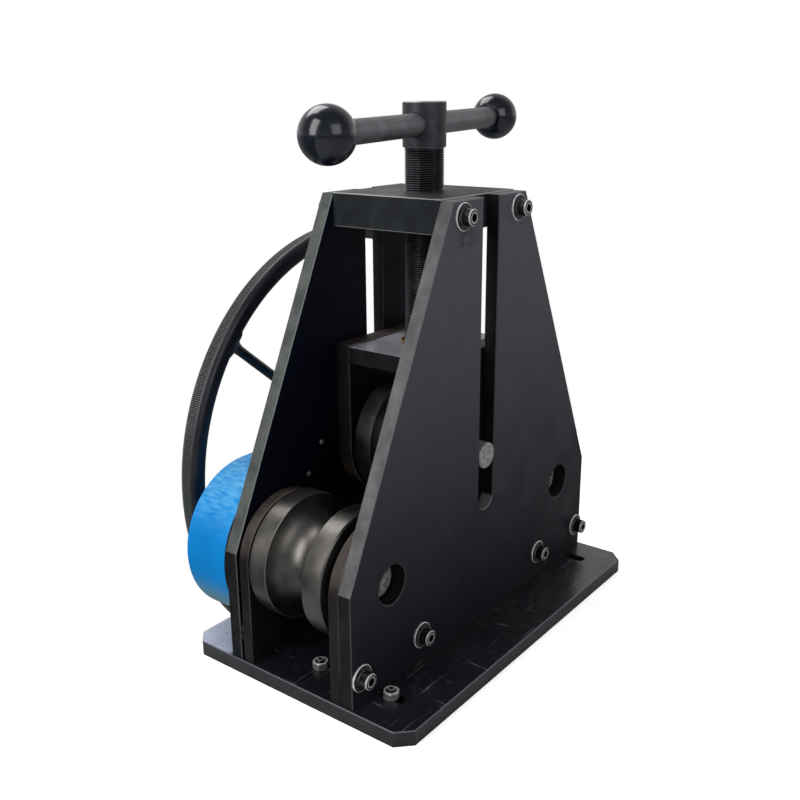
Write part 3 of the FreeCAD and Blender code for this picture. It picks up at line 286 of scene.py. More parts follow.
# %% Blackened plate
def blackened_plate(name, thick_axis, face, sloped, upright, corner, rough=(0.42, 0.6),
                    painted_sheen_high_up=None, specular=0.3, scratches=0.0, oil=0.0, painted_light_from=None,
                    stain=None, bores=None):
    """Steel plate, blackened and oiled.  thick_axis is X, Y or Z.  face, sloped and
    upright are pairs of colours between which clouds and saw lines vary, on
    the wide faces and on the two kinds of cut edge: the sloped pair is painted
    light, for edges that look up, and the upright pair painted shade.  corner is
    the colour of the broken corners, painted_sheen_high_up the face's colour near the top, a
    painted sheen, scratches how far scratches show, and oil how much of the
    plate a film of oil covers.  Past the Y value painted_light_from the face is painted
    pale, as light falling there.  stain is the (X, Z) place of a blot of old oil,
    about 30 mm across, and bores that of a hole whose walls keep the painted
    shade of the upright edges, with its twin at the other end."""
    made, tree, shader = finish(name, IOR=1.45, Coat_Weight=oil, Coat_Roughness=0.18,
                                Specular_IOR_Level=specular)
    where = add(tree, "TexCoord")
    place = where.outputs["Object"]
    facing = add(tree, "SeparateXYZ", {0: where.outputs["Normal"]})
    side = add(tree, "Math", {0: facing.outputs[thick_axis]}, operation="ABSOLUTE")
    up = add(tree, "Math", {0: facing.outputs["Z"]}, operation="ABSOLUTE")

    # the face: clouds of oil, and faint streaks where the oil ran down
    clouds = add(tree, "TexNoise", {"Vector": place, "Scale": 1000 / 90, "Detail": 3.0})
    runs = streaks(tree, place, (3, 3, 90), 3.0)
    mixed = add(tree, "Mix", {0: 0.45, 2: clouds, 3: runs})
    face_colour = add(tree, "ValToRGB", {0: mixed}, stops=[(0.3, face[0]), (0.7, face[1])])
    # painted sheen: the face turns greyer towards the top, as the light above reflects in it
    if painted_sheen_high_up:
        height = add(tree, "SeparateXYZ", {0: place}).outputs["Z"]
        rise = add(tree, "MapRange", {0: height, 1: 30 * MM, 2: 410 * MM}, **SOFT)
        uneven = add(tree, "Mix", {0: 0.1, 2: rise, 3: mixed})
        face_colour = add(tree, "Mix", {0: uneven, 6: face_colour, 7: painted_sheen_high_up}, **COLOUR)
    if stain:
        near = closeness(tree, place, stain, 5, 21, squash=1.5)
        blots = add(tree, "TexNoise", {"Vector": place, "Scale": 1000 / 5, "Detail": 5.0})
        seeped = add(tree, "MapRange", {0: blots, 1: 0.35, 2: 0.62, 4: 0.65}, **SOFT)
        share = add(tree, "Math", {0: near, 1: seeped}, operation="MULTIPLY")
        face_colour = add(tree, "Mix", {0: share, 6: face_colour, 7: "#222228"}, **COLOUR)
    if scratches:
        marks = [streaks(tree, place, stretch, 1.0) for stretch in ((60, 1.6, 9), (2.2, 30, 9))]
        crossed = add(tree, "Math", {0: marks[0], 1: marks[1]}, operation="MAXIMUM")
        cut = add(tree, "ValToRGB", {0: crossed}, stops=[(0.69, 0.0), (0.79, 1.0)])
        thin = add(tree, "Math", {0: cut, 1: scratches}, operation="MULTIPLY")
        face_colour = add(tree, "Mix", {0: thin, 6: face_colour, 7: "#8b8c90"}, **COLOUR)
    # painted light: past that depth the face is painted pale, as light falling there
    if painted_light_from:
        depth = add(tree, "SeparateXYZ", {0: place}).outputs["Y"]
        beyond = add(tree, "MapRange", {0: depth, 1: painted_light_from * MM, 2: (painted_light_from + 8) * MM,
                                        4: 0.95}, **SOFT)
        bare = add(tree, "ValToRGB", {0: mixed}, stops=[(0.3, "#a6abc0"), (0.7, "#d9ddee")])
        face_colour = add(tree, "Mix", {0: beyond, 6: face_colour, 7: bare}, **COLOUR)

    # the cut edges: saw lines run through the thickness, about 0.8 mm apart
    lines = streaks(tree, place, [30 if axis == thick_axis else 0.8 for axis in "XYZ"], 2.0)
    wear_and_highlight_place = add(tree, "TexNoise", {"Vector": place, "Scale": 1000 / 18, "Detail": 4.0})
    edge_wear_and_highlight = add(tree, "Mix", {0: 0.82, 2: lines, 3: wear_and_highlight_place})
    pale = add(tree, "ValToRGB", {0: edge_wear_and_highlight}, stops=[(0.38, sloped[0]), (0.62, sloped[1])])
    dark = add(tree, "ValToRGB", {0: edge_wear_and_highlight}, stops=[(0.38, upright[0]), (0.62, upright[1])])
    # painted light and shade: edges that look up get the pale pair, as lit from above, the others the dark
    # pair, as in shade
    painted_lit_share = add(tree, "MapRange", {0: up, 1: 0.12, 2: 0.36}, **SOFT)
    # painted shade: a bore's walls keep the dark pair even where they look up
    if bores:
        inside = closeness(tree, place, bores, 19, 20, both_ends=True)
        painted_lit_share = add(tree, "Math", {0: painted_lit_share, 1: inside}, operation="SUBTRACT", use_clamp=True)
    edge_colour = add(tree, "Mix", {0: painted_lit_share, 6: dark, 7: pale}, **COLOUR)
    # a broken corner is painted bright where the edge beside it is painted lit, and dimmer where that edge
    # is painted shade
    dull = add(tree, "Mix", {0: 0.35, 6: dark, 7: corner}, **COLOUR)
    corner_colour = add(tree, "Mix", {0: painted_lit_share, 6: dull, 7: corner}, **COLOUR)

    is_corner = add(tree, "ValToRGB", {0: side}, stops=[(0.45, 0.0), (0.55, 1.0)])
    is_face = add(tree, "ValToRGB", {0: side}, stops=[(0.86, 0.0), (0.93, 1.0)])
    colour = add(tree, "Mix", {0: is_corner, 6: edge_colour, 7: corner_colour}, **COLOUR)
    colour = add(tree, "Mix", {0: is_face, 6: colour, 7: face_colour}, **COLOUR)

    smears = add(tree, "TexNoise", {"Vector": place, "Scale": 1000 / 30, "Detail": 4.0})
    # mill scale: grains of about 0.9 mm, drawn coarser than the real ones
    grain = add(tree, "TexNoise", {"Vector": place, "Scale": 1000 / 0.9, "Detail": 2.0})
    surface(tree, shader, colour, smears, rough, grain, 0.12, 0.2)
    return made


# %% The plates' own finishes
ROLLER_X, _, ROLLER_Z = JOINTS["rear_roll_spin"]
# outside faces: painted greyer towards the top, as a sheen of the light above
side_plate_finish = blackened_plate(
    "blackened_side_plate", "Y", ("#0a0c12", "#12141b"), ("#555556", "#6f6e6d"),
    ("#101013", "#211d1d"), "#707175", painted_sheen_high_up="#5a5960", specular=0.22, stain=(-37, 386),
    bores=(ROLLER_X, ROLLER_Z))
# inside faces: no painted sheen towards the top, and the oil keeps them a blue black
far_plate_finish = blackened_plate(
    "blackened_far_plate", "Y", ("#080b18", "#0c1020"), ("#4a4d4b", "#60635f"),
    ("#15171a", "#242527"), "#85888a", specular=0.15)
# the base is rolled smoother and stays under dripping oil: glossier and scratched
# by tools; the strip under the gear case is painted pale, as light falling in there
base_finish = blackened_plate(
    "blackened_base_plate", "Z", ("#101116", "#1c1d23"), ("#26272b", "#34353a"),
    ("#17181b", "#242528"), "#5d6066", rough=(0.22, 0.45), specular=0.6, scratches=0.55, oil=0.6,
    painted_light_from=70)
# the nut block's top is painted paler than its front, as a sheen of the light above
nut_block_finish = blackened_plate(
    "blackened_nut_block", "Z", ("#2c2c2e", "#3d3c3c"), ("#2c2f31", "#3a3d3e"),
    ("#181b1f", "#262c30"), "#a09d98")
cheek_finish = blackened_plate(
    "blackened_cheek", "Y", ("#090b10", "#12141a"), ("#2b2724", "#403832"), ("#15161a", "#221f1f"),
    "#6b625a", specular=0.2)
# painted sheen: the yoke top's face is a pale grey standing for the light it reflects
yoke_top_sheen_finish = blackened_plate(
    "blackened_yoke_top_painted_sheen", "Z", ("#86878f", "#b3b4bc"), ("#2b2826", "#3c3733"),
    ("#141518", "#201f20"), "#6b625a", rough=(0.25, 0.4), specular=0.45)
# the bearing plates' round tops lie in falling scale and damp: rust stains the black, and they are painted
# paler where they look up, as lit from above
bearing_finish = blackened_plate(
    "browned_bearing_plate", "Y", ("#131217", "#1f1b1c"), ("#2e2927", "#4c423d"),
    ("#131011", "#211918"), "#6a605a", rough=(0.4, 0.6))
case_back_finish = blackened_plate(
    "blackened_case_back", "Y", ("#0e1014", "#191a1d"), ("#1b1c1e", "#2a2b2c"),
    ("#121316", "#1c1d1f"), "#4a4b4c", specular=0.2)
print("materials so far:", len(bpy.data.materials))


# %% [markdown]
# The turned parts are steel too, but their marks come from a lathe: fine rings
# that follow the profile.  Each turned piece carries a UV map that isn't used
# for a picture.  Its second number is the distance along the profile, so noise
# along it gives rings.  Its first number says how sharply the profile bends
# there, so it finds the edges that rub bright on washers and screw heads, and
# where a highlight is painted on them.

# %% Turned and drawn steel
def turned_steel(name, dark, light, rough=(0.3, 0.5), metallic=1.0, ring_mm=0.6, rings=0.25,
                 cloud_mm=14, rust=0.0, edge_wear_and_highlight=None, crest_mm=None):
    """Steel as a lathe leaves it.  Rings ring_mm apart show as light and dark
    lines and as a faint bump; clouds of oil, touch and rust lie over them.
    The edge colour, the argument after rust, stands both for wear and for a
    painted highlight on edges, and crest_mm the radii between which a thread turns
    from dark to that colour."""
    made, tree, shader = finish(name, Metallic=metallic)
    where = add(tree, "TexCoord")
    place = where.outputs["Object"]
    map_parts = add(tree, "SeparateXYZ", {0: where.outputs["UV"]})
    along = add(tree, "Math", {0: map_parts.outputs["Y"], 1: 1000 / ring_mm}, operation="MULTIPLY")
    lines = add(tree, "TexNoise", {"W": along, "Scale": 1.0, "Detail": 3.0}, noise_dimensions="1D")
    clouds = add(tree, "TexNoise", {"Vector": place, "Scale": 1000 / cloud_mm, "Detail": 4.0})
    mixed = add(tree, "Mix", {0: rings, 2: clouds, 3: lines})
    colour = add(tree, "ValToRGB", {0: mixed}, stops=[(0.36, dark), (0.64, light)])
    if rust:
        freckles = add(tree, "TexNoise", {"Vector": place, "Scale": 1000 / 2.5, "Detail": 4.0})
        brown = add(tree, "ValToRGB", {0: freckles}, stops=[(0.5, 0.0), (0.66, 1.0)])
        share = add(tree, "Math", {0: brown, 1: rust}, operation="MULTIPLY")
        colour = add(tree, "Mix", {0: share, 6: colour, 7: "#5a3a2a"}, **COLOUR)
    if edge_wear_and_highlight:
        # edges painted bright, both as wear and as a painted highlight
        wear_and_highlight_place = map_parts.outputs["X"]
        low, high = 0.55, 0.95
        if crest_mm:
            from_axis = add(tree, "VectorMath", {0: place, 1: (1, 1, 0)}, operation="MULTIPLY")
            wear_and_highlight_place = add(tree, "VectorMath", {0: from_axis}, operation="LENGTH")
            low, high = crest_mm[0] * MM, crest_mm[1] * MM
        bright = add(tree, "MapRange", {0: wear_and_highlight_place, 1: low, 2: high}, **SOFT)
        patchy = add(tree, "MapRange", {0: clouds, 1: 0.3, 2: 0.55, 3: 0.6, 4: 1.0})
        share = add(tree, "Math", {0: bright, 1: patchy}, operation="MULTIPLY")
        colour = add(tree, "Mix", {0: share, 6: colour, 7: edge_wear_and_highlight}, **COLOUR)
        # below 0 the mark stands for a socket, painted dark as shade in the recess
        socket_shade = add(tree, "MapRange", {0: map_parts.outputs["X"], 1: -0.1, 2: -0.6})
        colour = add(tree, "Mix", {0: socket_shade, 6: colour, 7: "#060607"}, **COLOUR)
    surface(tree, shader, colour, clouds, rough, lines, 0.15, 0.1)
    return made


# carbon steel rollers, turned and dipped in oil: a brown grey with a soft gloss
roller_finish = turned_steel(
    "oiled_roller_steel", "#42403d", "#797672", rough=(0.3, 0.42), metallic=0.9, cloud_mm=45,
    ring_mm=1.2, rings=0.12, edge_wear_and_highlight="#8a8683")
# T-bar and screw head: black oxide; the bar is painted paler, as lit from above, and the head darker, as
# its upright side is in shade
bar_finish = turned_steel(
    "bar_steel_painted_lit", "#636166", "#7e7c80", rough=(0.4, 0.52), metallic=0.6, rings=0.15,
    edge_wear_and_highlight="#a5a3a6")
head_finish = turned_steel(
    "screw_head_steel", "#343439", "#4a494f", rough=(0.4, 0.52), metallic=0.6, rings=0.15,
    edge_wear_and_highlight="#b5b3b6")
thread_finish = turned_steel(
    "oiled_thread_steel", "#17181c", "#26272c", rough=(0.3, 0.42), metallic=0.7, rings=0.1,
    edge_wear_and_highlight="#626166", crest_mm=(17.2, 17.95))
# shaft ends turned bright and left bare: freckles of rust over silver grey
bright_finish = turned_steel(
    "bright_shaft_steel", "#8b8988", "#c9c8c6", rust=0.3, cloud_mm=3, metallic=0.5)
# shaft ends in the sight holes: bare, scaly and grey
shaft_finish = turned_steel(
    "scaly_shaft_steel", "#5d5b59", "#c9c6c0", rust=0.35, cloud_mm=4, metallic=0.4)
gear_finish = turned_steel("greased_gear_steel", "#5c5d60", "#808184", cloud_mm=9)
# black oxide wears through at the rim of a screw head, where the key slips, and the rim is painted
# brighter still as a highlight
screw_finish = turned_steel(
    "black_oxide_screw", "#0f0f11", "#1c1c1e", rough=(0.28, 0.42), metallic=0.3, cloud_mm=4,
    edge_wear_and_highlight="#d4d2d0")
# zinc washers under oil: grey, with a painted highlight round the rim, partly wear
washer_finish = turned_steel(
    "washer_steel_wear_and_highlight", "#242425", "#4c4c4c", cloud_mm=5, rust=0.1, metallic=0.2, edge_wear_and_highlight="#ffffff")
# cast and machined tin bronze: a dull yellow brown, nearly black where oil stays on it
bronze_finish = turned_steel("machined_bronze", "#9b7440", "#c39a5b", cloud_mm=8)
oily_bronze_finish = turned_steel("oily_bronze", "#2c241b", "#57452f", cloud_mm=6)
print("materials so far:", len(bpy.data.materials))

# %% [markdown]
# Three finishes are not bare steel: the gear case's blue enamel, sprayed on and
# baked, with a faint orange-peel surface; the polished phenolic of the ball
# knobs; and the moulded black plastic of the handwheel.

# %% Blue enamel
enamel, tree, shader = finish("sprayed_blue_enamel", IOR=1.5, Specular_IOR_Level=0.15)
where = add(tree, "TexCoord")
place = where.outputs["Object"]
coats = add(tree, "TexNoise", {"Vector": place, "Scale": 1000 / 60, "Detail": 3.0})
shade = add(tree, "ValToRGB", {0: coats}, stops=[(0.3, "#0079c4"), (0.7, "#0090de")])
# painted reflection: the top is painted paler in streaks, as the bright room above reflects in it, and the
# underside a green grey, as light thrown up from the base
facing = add(tree, "SeparateXYZ", {0: where.outputs["Normal"]})
patches = streaks(tree, place, (3, 12, 3), 4.0)
patchy = add(tree, "MapRange", {0: patches, 1: 0.25, 2: 0.75}, **SOFT)
above = add(tree, "MapRange", {0: facing.outputs["Z"], 1: 0.3, 2: 0.9, 4: 0.75}, **SOFT)
painted_reflection_share = add(tree, "Math", {0: above, 1: patchy}, operation="MULTIPLY")
with_painted_reflection = add(tree, "Mix", {0: painted_reflection_share, 6: shade, 7: "#74c4ee"}, **COLOUR)
below = add(tree, "MapRange", {0: facing.outputs["Z"], 1: -0.15, 2: -0.75, 4: 0.85}, **SOFT)
with_painted_bounce = add(tree, "Mix", {0: below, 6: with_painted_reflection, 7: "#7aa39c"}, **COLOUR)
# orange peel, about 2 mm across
peel = add(tree, "TexNoise", {"Vector": place, "Scale": 1000 / 2.2, "Detail": 1.0})
# wiping marks along the case's depth
rub = streaks(tree, place, (1, 14, 1), 3.0)
surface(tree, shader, with_painted_bounce, rub, (0.3, 0.5), peel, 0.1, 0.3)

# %% Polished phenolic
phenolic, tree, shader = finish("polished_phenolic", IOR=1.6)
place = add(tree, "TexCoord").outputs["Object"]
filler = add(tree, "TexNoise", {"Vector": place, "Scale": 1000 / 12, "Detail": 4.0})
tint = add(tree, "ValToRGB", {0: filler}, stops=[(0.3, "#10131b"), (0.7, "#1b1f2a")])
# finger marks dull the polish
rub = add(tree, "TexNoise", {"Vector": place, "Scale": 1000 / 3, "Detail": 5.0})
# a ball turned from bar is never quite round
swell = add(tree, "TexNoise", {"Vector": place, "Scale": 1000 / 9, "Detail": 1.0})
surface(tree, shader, tint, rub, (0.12, 0.22), swell, 0.06, 0.5, ends=(0.3, 0.75))

# %% Moulded black plastic
moulding, tree, shader = finish("moulded_wheel_plastic", IOR=1.5)
where = add(tree, "TexCoord")
place = where.outputs["Object"]
flow = add(tree, "TexNoise", {"Vector": place, "Scale": 1000 / 40, "Detail": 4.0})
tint = add(tree, "ValToRGB", {0: flow}, stops=[(0.3, "#15151b"), (0.7, "#24242d")])
# the ribs' crests are worn grey by hands and painted lighter as the light on them, the lip is a painted
# highlight, and their mark says how near a crest is
crest = add(tree, "SeparateXYZ", {0: where.outputs["UV"]}).outputs["X"]
crest_wear_and_highlight = add(tree, "Mix", {0: crest, 6: tint, 7: "#565a57"}, **COLOUR)
hands = add(tree, "TexNoise", {"Vector": place, "Scale": 1000 / 15, "Detail": 4.0})
grain = add(tree, "TexNoise", {"Vector": place, "Scale": 1000 / 0.8, "Detail": 2.0})
surface(tree, shader, crest_wear_and_highlight, hands, (0.3, 0.45), grain, 0.05, 0.2)

# spokes and hub: steel under a satin black paint, brushed on
wheel_paint = turned_steel(
    "satin_black_wheel_paint", "#151519", "#222227", rough=(0.35, 0.5), metallic=0.0, rings=0.1)
print("materials:", len(bpy.data.materials))

# %% [markdown]
# ## Shapes
#
# Nearly every round part is lathe work, so one function sweeps a profile round
# an axis.  The radius may also change with the angle.  That one step turns the
# same function into hexagon sockets, ribs, knurls and screw threads, because
# each is only a rule for the radius.
#
# A profile is a list of corners.  Real corners are never sharp, so each has its
# own rounding, drawn as an arc that touches both of its straight runs.

# %% Profiles
LONG_RUN, GUARD, FULL_BEND = 2.5, 0.8, 0.35


def rounded(corners, steps=5):
    """(radius, height) arrays of a profile.  Each corner is (radius, height,
    rounding); the arc's centre lies on the line that halves the corner, at
    rounding / sin(half the corner's angle).  A run longer than LONG_RUN gets a
    point GUARD mm from each end, so that a corner's marks stay near the corner."""
    points = [np.array(corners[0][:2], float)]
    for before, (r, h, size), after in zip(corners, corners[1:], corners[2:]):
        here = np.array((r, h), float)
        if size == 0:
            points.append(here)
            continue
        back = np.array(before[:2]) - here
        on = np.array(after[:2]) - here
        back /= np.linalg.norm(back)
        on /= np.linalg.norm(on)
        half = math.acos(np.clip(back @ on, -1, 1)) / 2
        middle = here + (back + on) / np.linalg.norm(back + on) * size / math.sin(half)
        first = here + back * size / math.tan(half) - middle
        last = here + on * size / math.tan(half) - middle
        angle = math.atan2(first[1], first[0])
        sweep = (math.atan2(last[1], last[0]) - angle + math.pi) % (2 * math.pi) - math.pi
        angles = angle + sweep * np.linspace(0, 1, steps)
        points.extend(middle + size * np.stack([np.cos(angles), np.sin(angles)], 1))
    points.append(np.array(corners[-1][:2], float))
    points = np.array(points)
    run = np.diff(points, axis=0)
    length = np.linalg.norm(run, axis=1)
    long = np.flatnonzero(length > LONG_RUN)
    step = run[long] * (GUARD / length[long])[:, None]
    both = np.stack([points[long] + step, points[long + 1] - step], 1).reshape(-1, 2)
    return np.insert(points, np.repeat(long + 1, 2), both, axis=0).T


X, Y, Z = np.eye(3)
AXES = {"Y": (X, Z, Y), "Z": (X, Y, Z)}


def turned(radius, height, centre=(0, 0, 0), axis="Z", columns=72):
    """Grid of points centre + radius (cos a, sin a) + height along the axis, for
    angles a once round.  radius and height are one number a row, or rows x
    (columns + 1) where they change with the angle.  Each row also gets two
    marks: its bend, the angle between the runs before and after it over
    FULL_BEND, at most 1, and its distance along the profile."""
    u, v, w = AXES[axis] if isinstance(axis, str) else axis
    angle = np.linspace(0, 2 * math.pi, columns + 1)
    radius, height = [np.asarray(a, float) for a in (radius, height)]
    radius, height = [a[:, None] if a.ndim == 1 else a for a in (radius, height)]
    radius, height = np.broadcast_arrays(radius, height + 0 * angle)
    points = (np.asarray(centre, float) + height[..., None] * w
              + radius[..., None] * (np.cos(angle)[:, None] * u + np.sin(angle)[:, None] * v))
    steps = np.diff(radius.mean(1)) + 1j * np.diff(height.mean(1))
    along = np.concatenate([[0], np.cumsum(np.abs(steps))])
    turns = np.abs(np.angle(steps[1:] * np.conj(steps[:-1])))
    bend = np.clip(np.concatenate([[0], turns, [0]]) / FULL_BEND, 0, 1)
    marks = np.stack([bend, along], -1)[:, None]
    return points, np.broadcast_to(marks, points.shape[:2] + (2,))


def corner_reach(sides, columns, flats):
    """Radius of a regular polygon at each angle: half the width over flats,
    divided by the cosine of the angle from the nearest flat's middle."""
    angle = np.linspace(0, 2 * math.pi, columns + 1)
    step = 2 * math.pi / sides
    return flats / 2 / np.cos((angle + step / 2) % step - step / 2)


# %% Grids to pieces
# edges sharper than this many degrees stay sharp; points nearer than this are one
SHARP, MERGE = 32, 2e-6


def joined_mesh(name, grids):
    """Mesh from grids of points in mm.  Each grid gives a quad for every four
    neighbours; equal points are then merged, which closes seams and poles, and
    the faces are turned outwards.  The rows' marks go in the UV map."""
    points, uvs, faces, start = [], [], [], 0
    for grid, uv in grids:
        rows, columns = grid.shape[:2]
        index = start + np.arange(rows * columns).reshape(rows, columns)
        quads = np.stack([index[:-1, :-1], index[1:, :-1], index[1:, 1:], index[:-1, 1:]], -1)
        points.append(grid.reshape(-1, 3))
        uvs.append(uv.reshape(-1, 2))
        faces.append(quads.reshape(-1, 4))
        start += rows * columns
    faces = np.concatenate(faces)
    mesh = bpy.data.meshes.new(name)
    mesh.from_pydata(np.concatenate(points) * MM, [], faces)
    layer = mesh.uv_layers.new(name="along_profile")
    layer.data.foreach_set("uv", (np.concatenate(uvs) * (1, MM))[faces.ravel()].ravel())
    work = bmesh.new()
    work.from_mesh(mesh)
    bmesh.ops.remove_doubles(work, verts=work.verts, dist=MERGE)
    bmesh.ops.recalc_face_normals(work, faces=work.faces)
    work.to_mesh(mesh)
    work.free()
    return mesh


def piece(name, grids, body, material, replaces=(), sharp=SHARP):
    """One object from grids, smooth but for edges sharper than sharp degrees, on
    its body, and in place of the CAD nodes it replaces."""
    mesh = joined_mesh(name, grids)
    mesh.shade_smooth()
    mesh.set_sharp_from_angle(angle=math.radians(sharp))
    mesh.materials.append(material)
    made = bpy.data.objects.new(name, mesh)
    bpy.context.scene.collection.objects.link(made)
    flats = made.modifiers.new("flat_faces_stay_flat", "WEIGHTED_NORMAL")
    flats.keep_sharp = True
    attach(made, body)
    if replaces:
        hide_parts(*replaces)
    mesh.calc_loop_triangles()
    print(name, len(mesh.loop_triangles), "triangles")
    return made


# %% [markdown]
# ## Rollers
#
# Each roller is 116 mm across and 82 mm wide, with a half-round groove for 42.4
# mm tube.  Its two flanges are flat bands with small chamfers.  The profile is
# one closed loop from the bore out over both flanges and through the groove.

# %% Three rollers
AXLE_Z = JOINTS["upper_roll_spin"][2]
ENDS = (("front", -ROLLER_X), ("rear", ROLLER_X))
ROLLER_HALF, SHAFT_R = 41.0, 15.0


def roller_profile(bore_r, r=58.0, half=ROLLER_HALF, groove=21.2, lip=0.5):
    """Bore, side, flange band, groove, and back.  The groove's arc has its
    centre on the roller's surface, and a lip of plain band lies beside it."""
    side = rounded([(bore_r, -half, 0), (bore_r + 1, -half, 0), (r - 1.5, -half, 0.3),
                    (r, -half + 1.5, 0.4), (r, -groove - lip, 0)], 4)
    angles = np.linspace(-1, 1, 41) * math.radians(88.5)
    arc = np.stack([r - groove * np.cos(angles), groove * np.sin(angles)])
    return np.concatenate([side, arc, side[:, ::-1] * [[1], [-1]], side[:, :1]], 1)


for end, x in ENDS:
    loop = roller_profile(SHAFT_R)
    piece(end + "_grooved_roller", [turned(*loop, (x, 0, ROLLER_Z), "Y", 120)],
          end + "_roll", roller_finish, [end + "_roller"])
loop = roller_profile(15.05)
piece("upper_grooved_roller", [turned(*loop, (0, 0, AXLE_Z), "Y", 120)],
      "upper_roll", roller_finish, ["upper_roller"])


# %% Collars, spacers and rings
def ring(outer_r, inner_r, low, high, centre, axis="Y", soft=0.5, columns=72):
    """A plain turned ring between two heights, its outer corners rounded."""
    loop = rounded([(inner_r, low, 0), (outer_r, low, soft), (outer_r, high, soft),
                    (inner_r, high, 0), (inner_r, low, 0)], 4)
    return turned(*loop, centre, axis, columns)


for end, x in ENDS:
    low, high = span(end + "_roll_spacers", "Y")
    pair = [ring(22, SHAFT_R, a, b, (x, 0, ROLLER_Z))
            for a, b in ((low, -ROLLER_HALF), (ROLLER_HALF, high))]
    piece(end + "_spacer_rings", pair, end + "_roll", gear_finish,
          [end + "_roll_spacers"])
thrust_ring = ring(22, 12.1, *span("screw_thrust_ring", "Z"), (0, 0, 0), "Z")
piece("yoke_thrust_ring", [thrust_ring], "yoke", bronze_finish, ["screw_thrust_ring"])

# %% [markdown]
# ## Bearing plates and gear case
#
# A bearing plate is a slab with a half-round top, a bush bore and narrow broken
# edges.  Its surface is a closed band that runs from the bore out over one face,
# round the edge and back over the other face, so one grid makes it all.
#
# The gear case is a deep lid with round ends, level with the ends of the side
# plates.  Its profile is carried round an obround: two half circles joined by
# straight runs.  At offset 0 the two sides meet on the line between the end
# centres, which closes the front.

# %% Bearing plates
BASE_TOP = span("base_plate", "Z")[1]


def round_topped(x, r=55.5, foot=BASE_TOP):
    """Outline of a bearing plate: up one side, over a half circle, down and back."""
    angle = np.linspace(math.pi, 0, 49)
    top = np.stack([x + r * np.cos(angle), ROLLER_Z + r * np.sin(angle)], 1)
    side = np.linspace(foot, ROLLER_Z, 9)[:-1]
    left = np.stack([np.full(8, x - r), side], 1)
    right = np.stack([np.full(8, x + r), side[::-1]], 1)
    bottom = np.stack([np.linspace(x + r, x - r, 13)[1:], np.full(12, foot)], 1)
    return np.concatenate([left, top, right, bottom])


BUSH_R = 18.05


def bored_slab(outline, centre, bore_r, low, high, chamfer=0.8):
    """Closed band: bore, face, edge, other face, bore.  Each outline point is
    joined to the bore's point in the same direction; the chamfer draws the
    outline in by its width."""
    out = outline - centre
    far = np.linalg.norm(out, axis=1, keepdims=True)
    bore = centre + out / far * bore_r
    drawn_in = centre + out * (1 - chamfer / far)
    rows = [(bore, low), (drawn_in, low), (outline, low + chamfer), (outline, high - chamfer),
            (drawn_in, high), (bore, high), (bore, low)]
    grid = np.stack([np.stack([p[:, 0], np.full(len(p), y), p[:, 1]], 1) for p, y in rows])
    return grid, grid[..., [0, 2]] * (0, 1)


for end, x in ENDS:
    centre = np.array([x, ROLLER_Z])
    for side in ("near", "far"):
        node = f"{side}_{end}_bearing_plate"
        slab = bored_slab(round_topped(x), centre, BUSH_R, *span(node, "Y"))
        piece(node + "_browned", [slab], "frame", bearing_finish, [node])

# %% Gear case cover
def carried_round(offset, depth, columns=33):
    """Profile of offsets and depths carried round the line between the case's
    two end centres: centre + offset in the outward direction, at that depth."""
    half = np.linspace(-math.pi / 2, math.pi / 2, columns)
    run = np.linspace(CASE_X, -CASE_X, 17)
    centre = np.concatenate([np.full(columns, CASE_X), run, np.full(columns, -CASE_X), -run])
    angle = np.concatenate([half, np.full(17, math.pi / 2), half + math.pi,
                            np.full(17, -math.pi / 2)])
    grid = np.stack(np.broadcast_arrays(centre + offset[:, None] * np.cos(angle),
                                        depth[:, None],
                                        CASE_Z + offset[:, None] * np.sin(angle)), -1)
    return grid, grid[..., [0, 2]] * (0, 1)


CASE_X, CASE_Z, CASE_R, WALL = 124.0, 98.0, 74.97, 3
CASE_BACK, BOSS_FACE = span("gear_case_cover", "Y")
CASE_FRONT = BOSS_FACE - 4
INSIDE = CASE_FRONT - WALL
lid = rounded([(0, CASE_FRONT, 0), (CASE_R, CASE_FRONT, 4), (CASE_R, CASE_BACK, 0.3),
               (CASE_R - WALL, CASE_BACK, 0), (CASE_R - WALL, INSIDE, 1), (0, INSIDE, 0)], 7)
HUB = JOINTS["drive_spin"]
DRIVE, SHAFT_LINE = (HUB[0], HUB[2]), (HUB[0], 0, HUB[2])
boss = ring(20, 14.05, INSIDE, BOSS_FACE, SHAFT_LINE, soft=0.8)
piece("gear_case_lid", [carried_round(*lid), boss], "frame", enamel,
      ["gear_case_cover"])

# %% [markdown]
# ## Screws, washers and nuts
#
# The side plates are held by M8 socket cap screws on wide washers.  The head is
# turned with a rounded crown and a fine knurl, and the hexagon socket is pressed
# in.  Seen along its axis the whole head is one profile: floor of the socket,
# hexagon wall, flat crown, rounding, knurled side.

# %% Socket cap screws
# a hexagon's corner is this share of its width from the middle
TO_CORNER = 0.5774


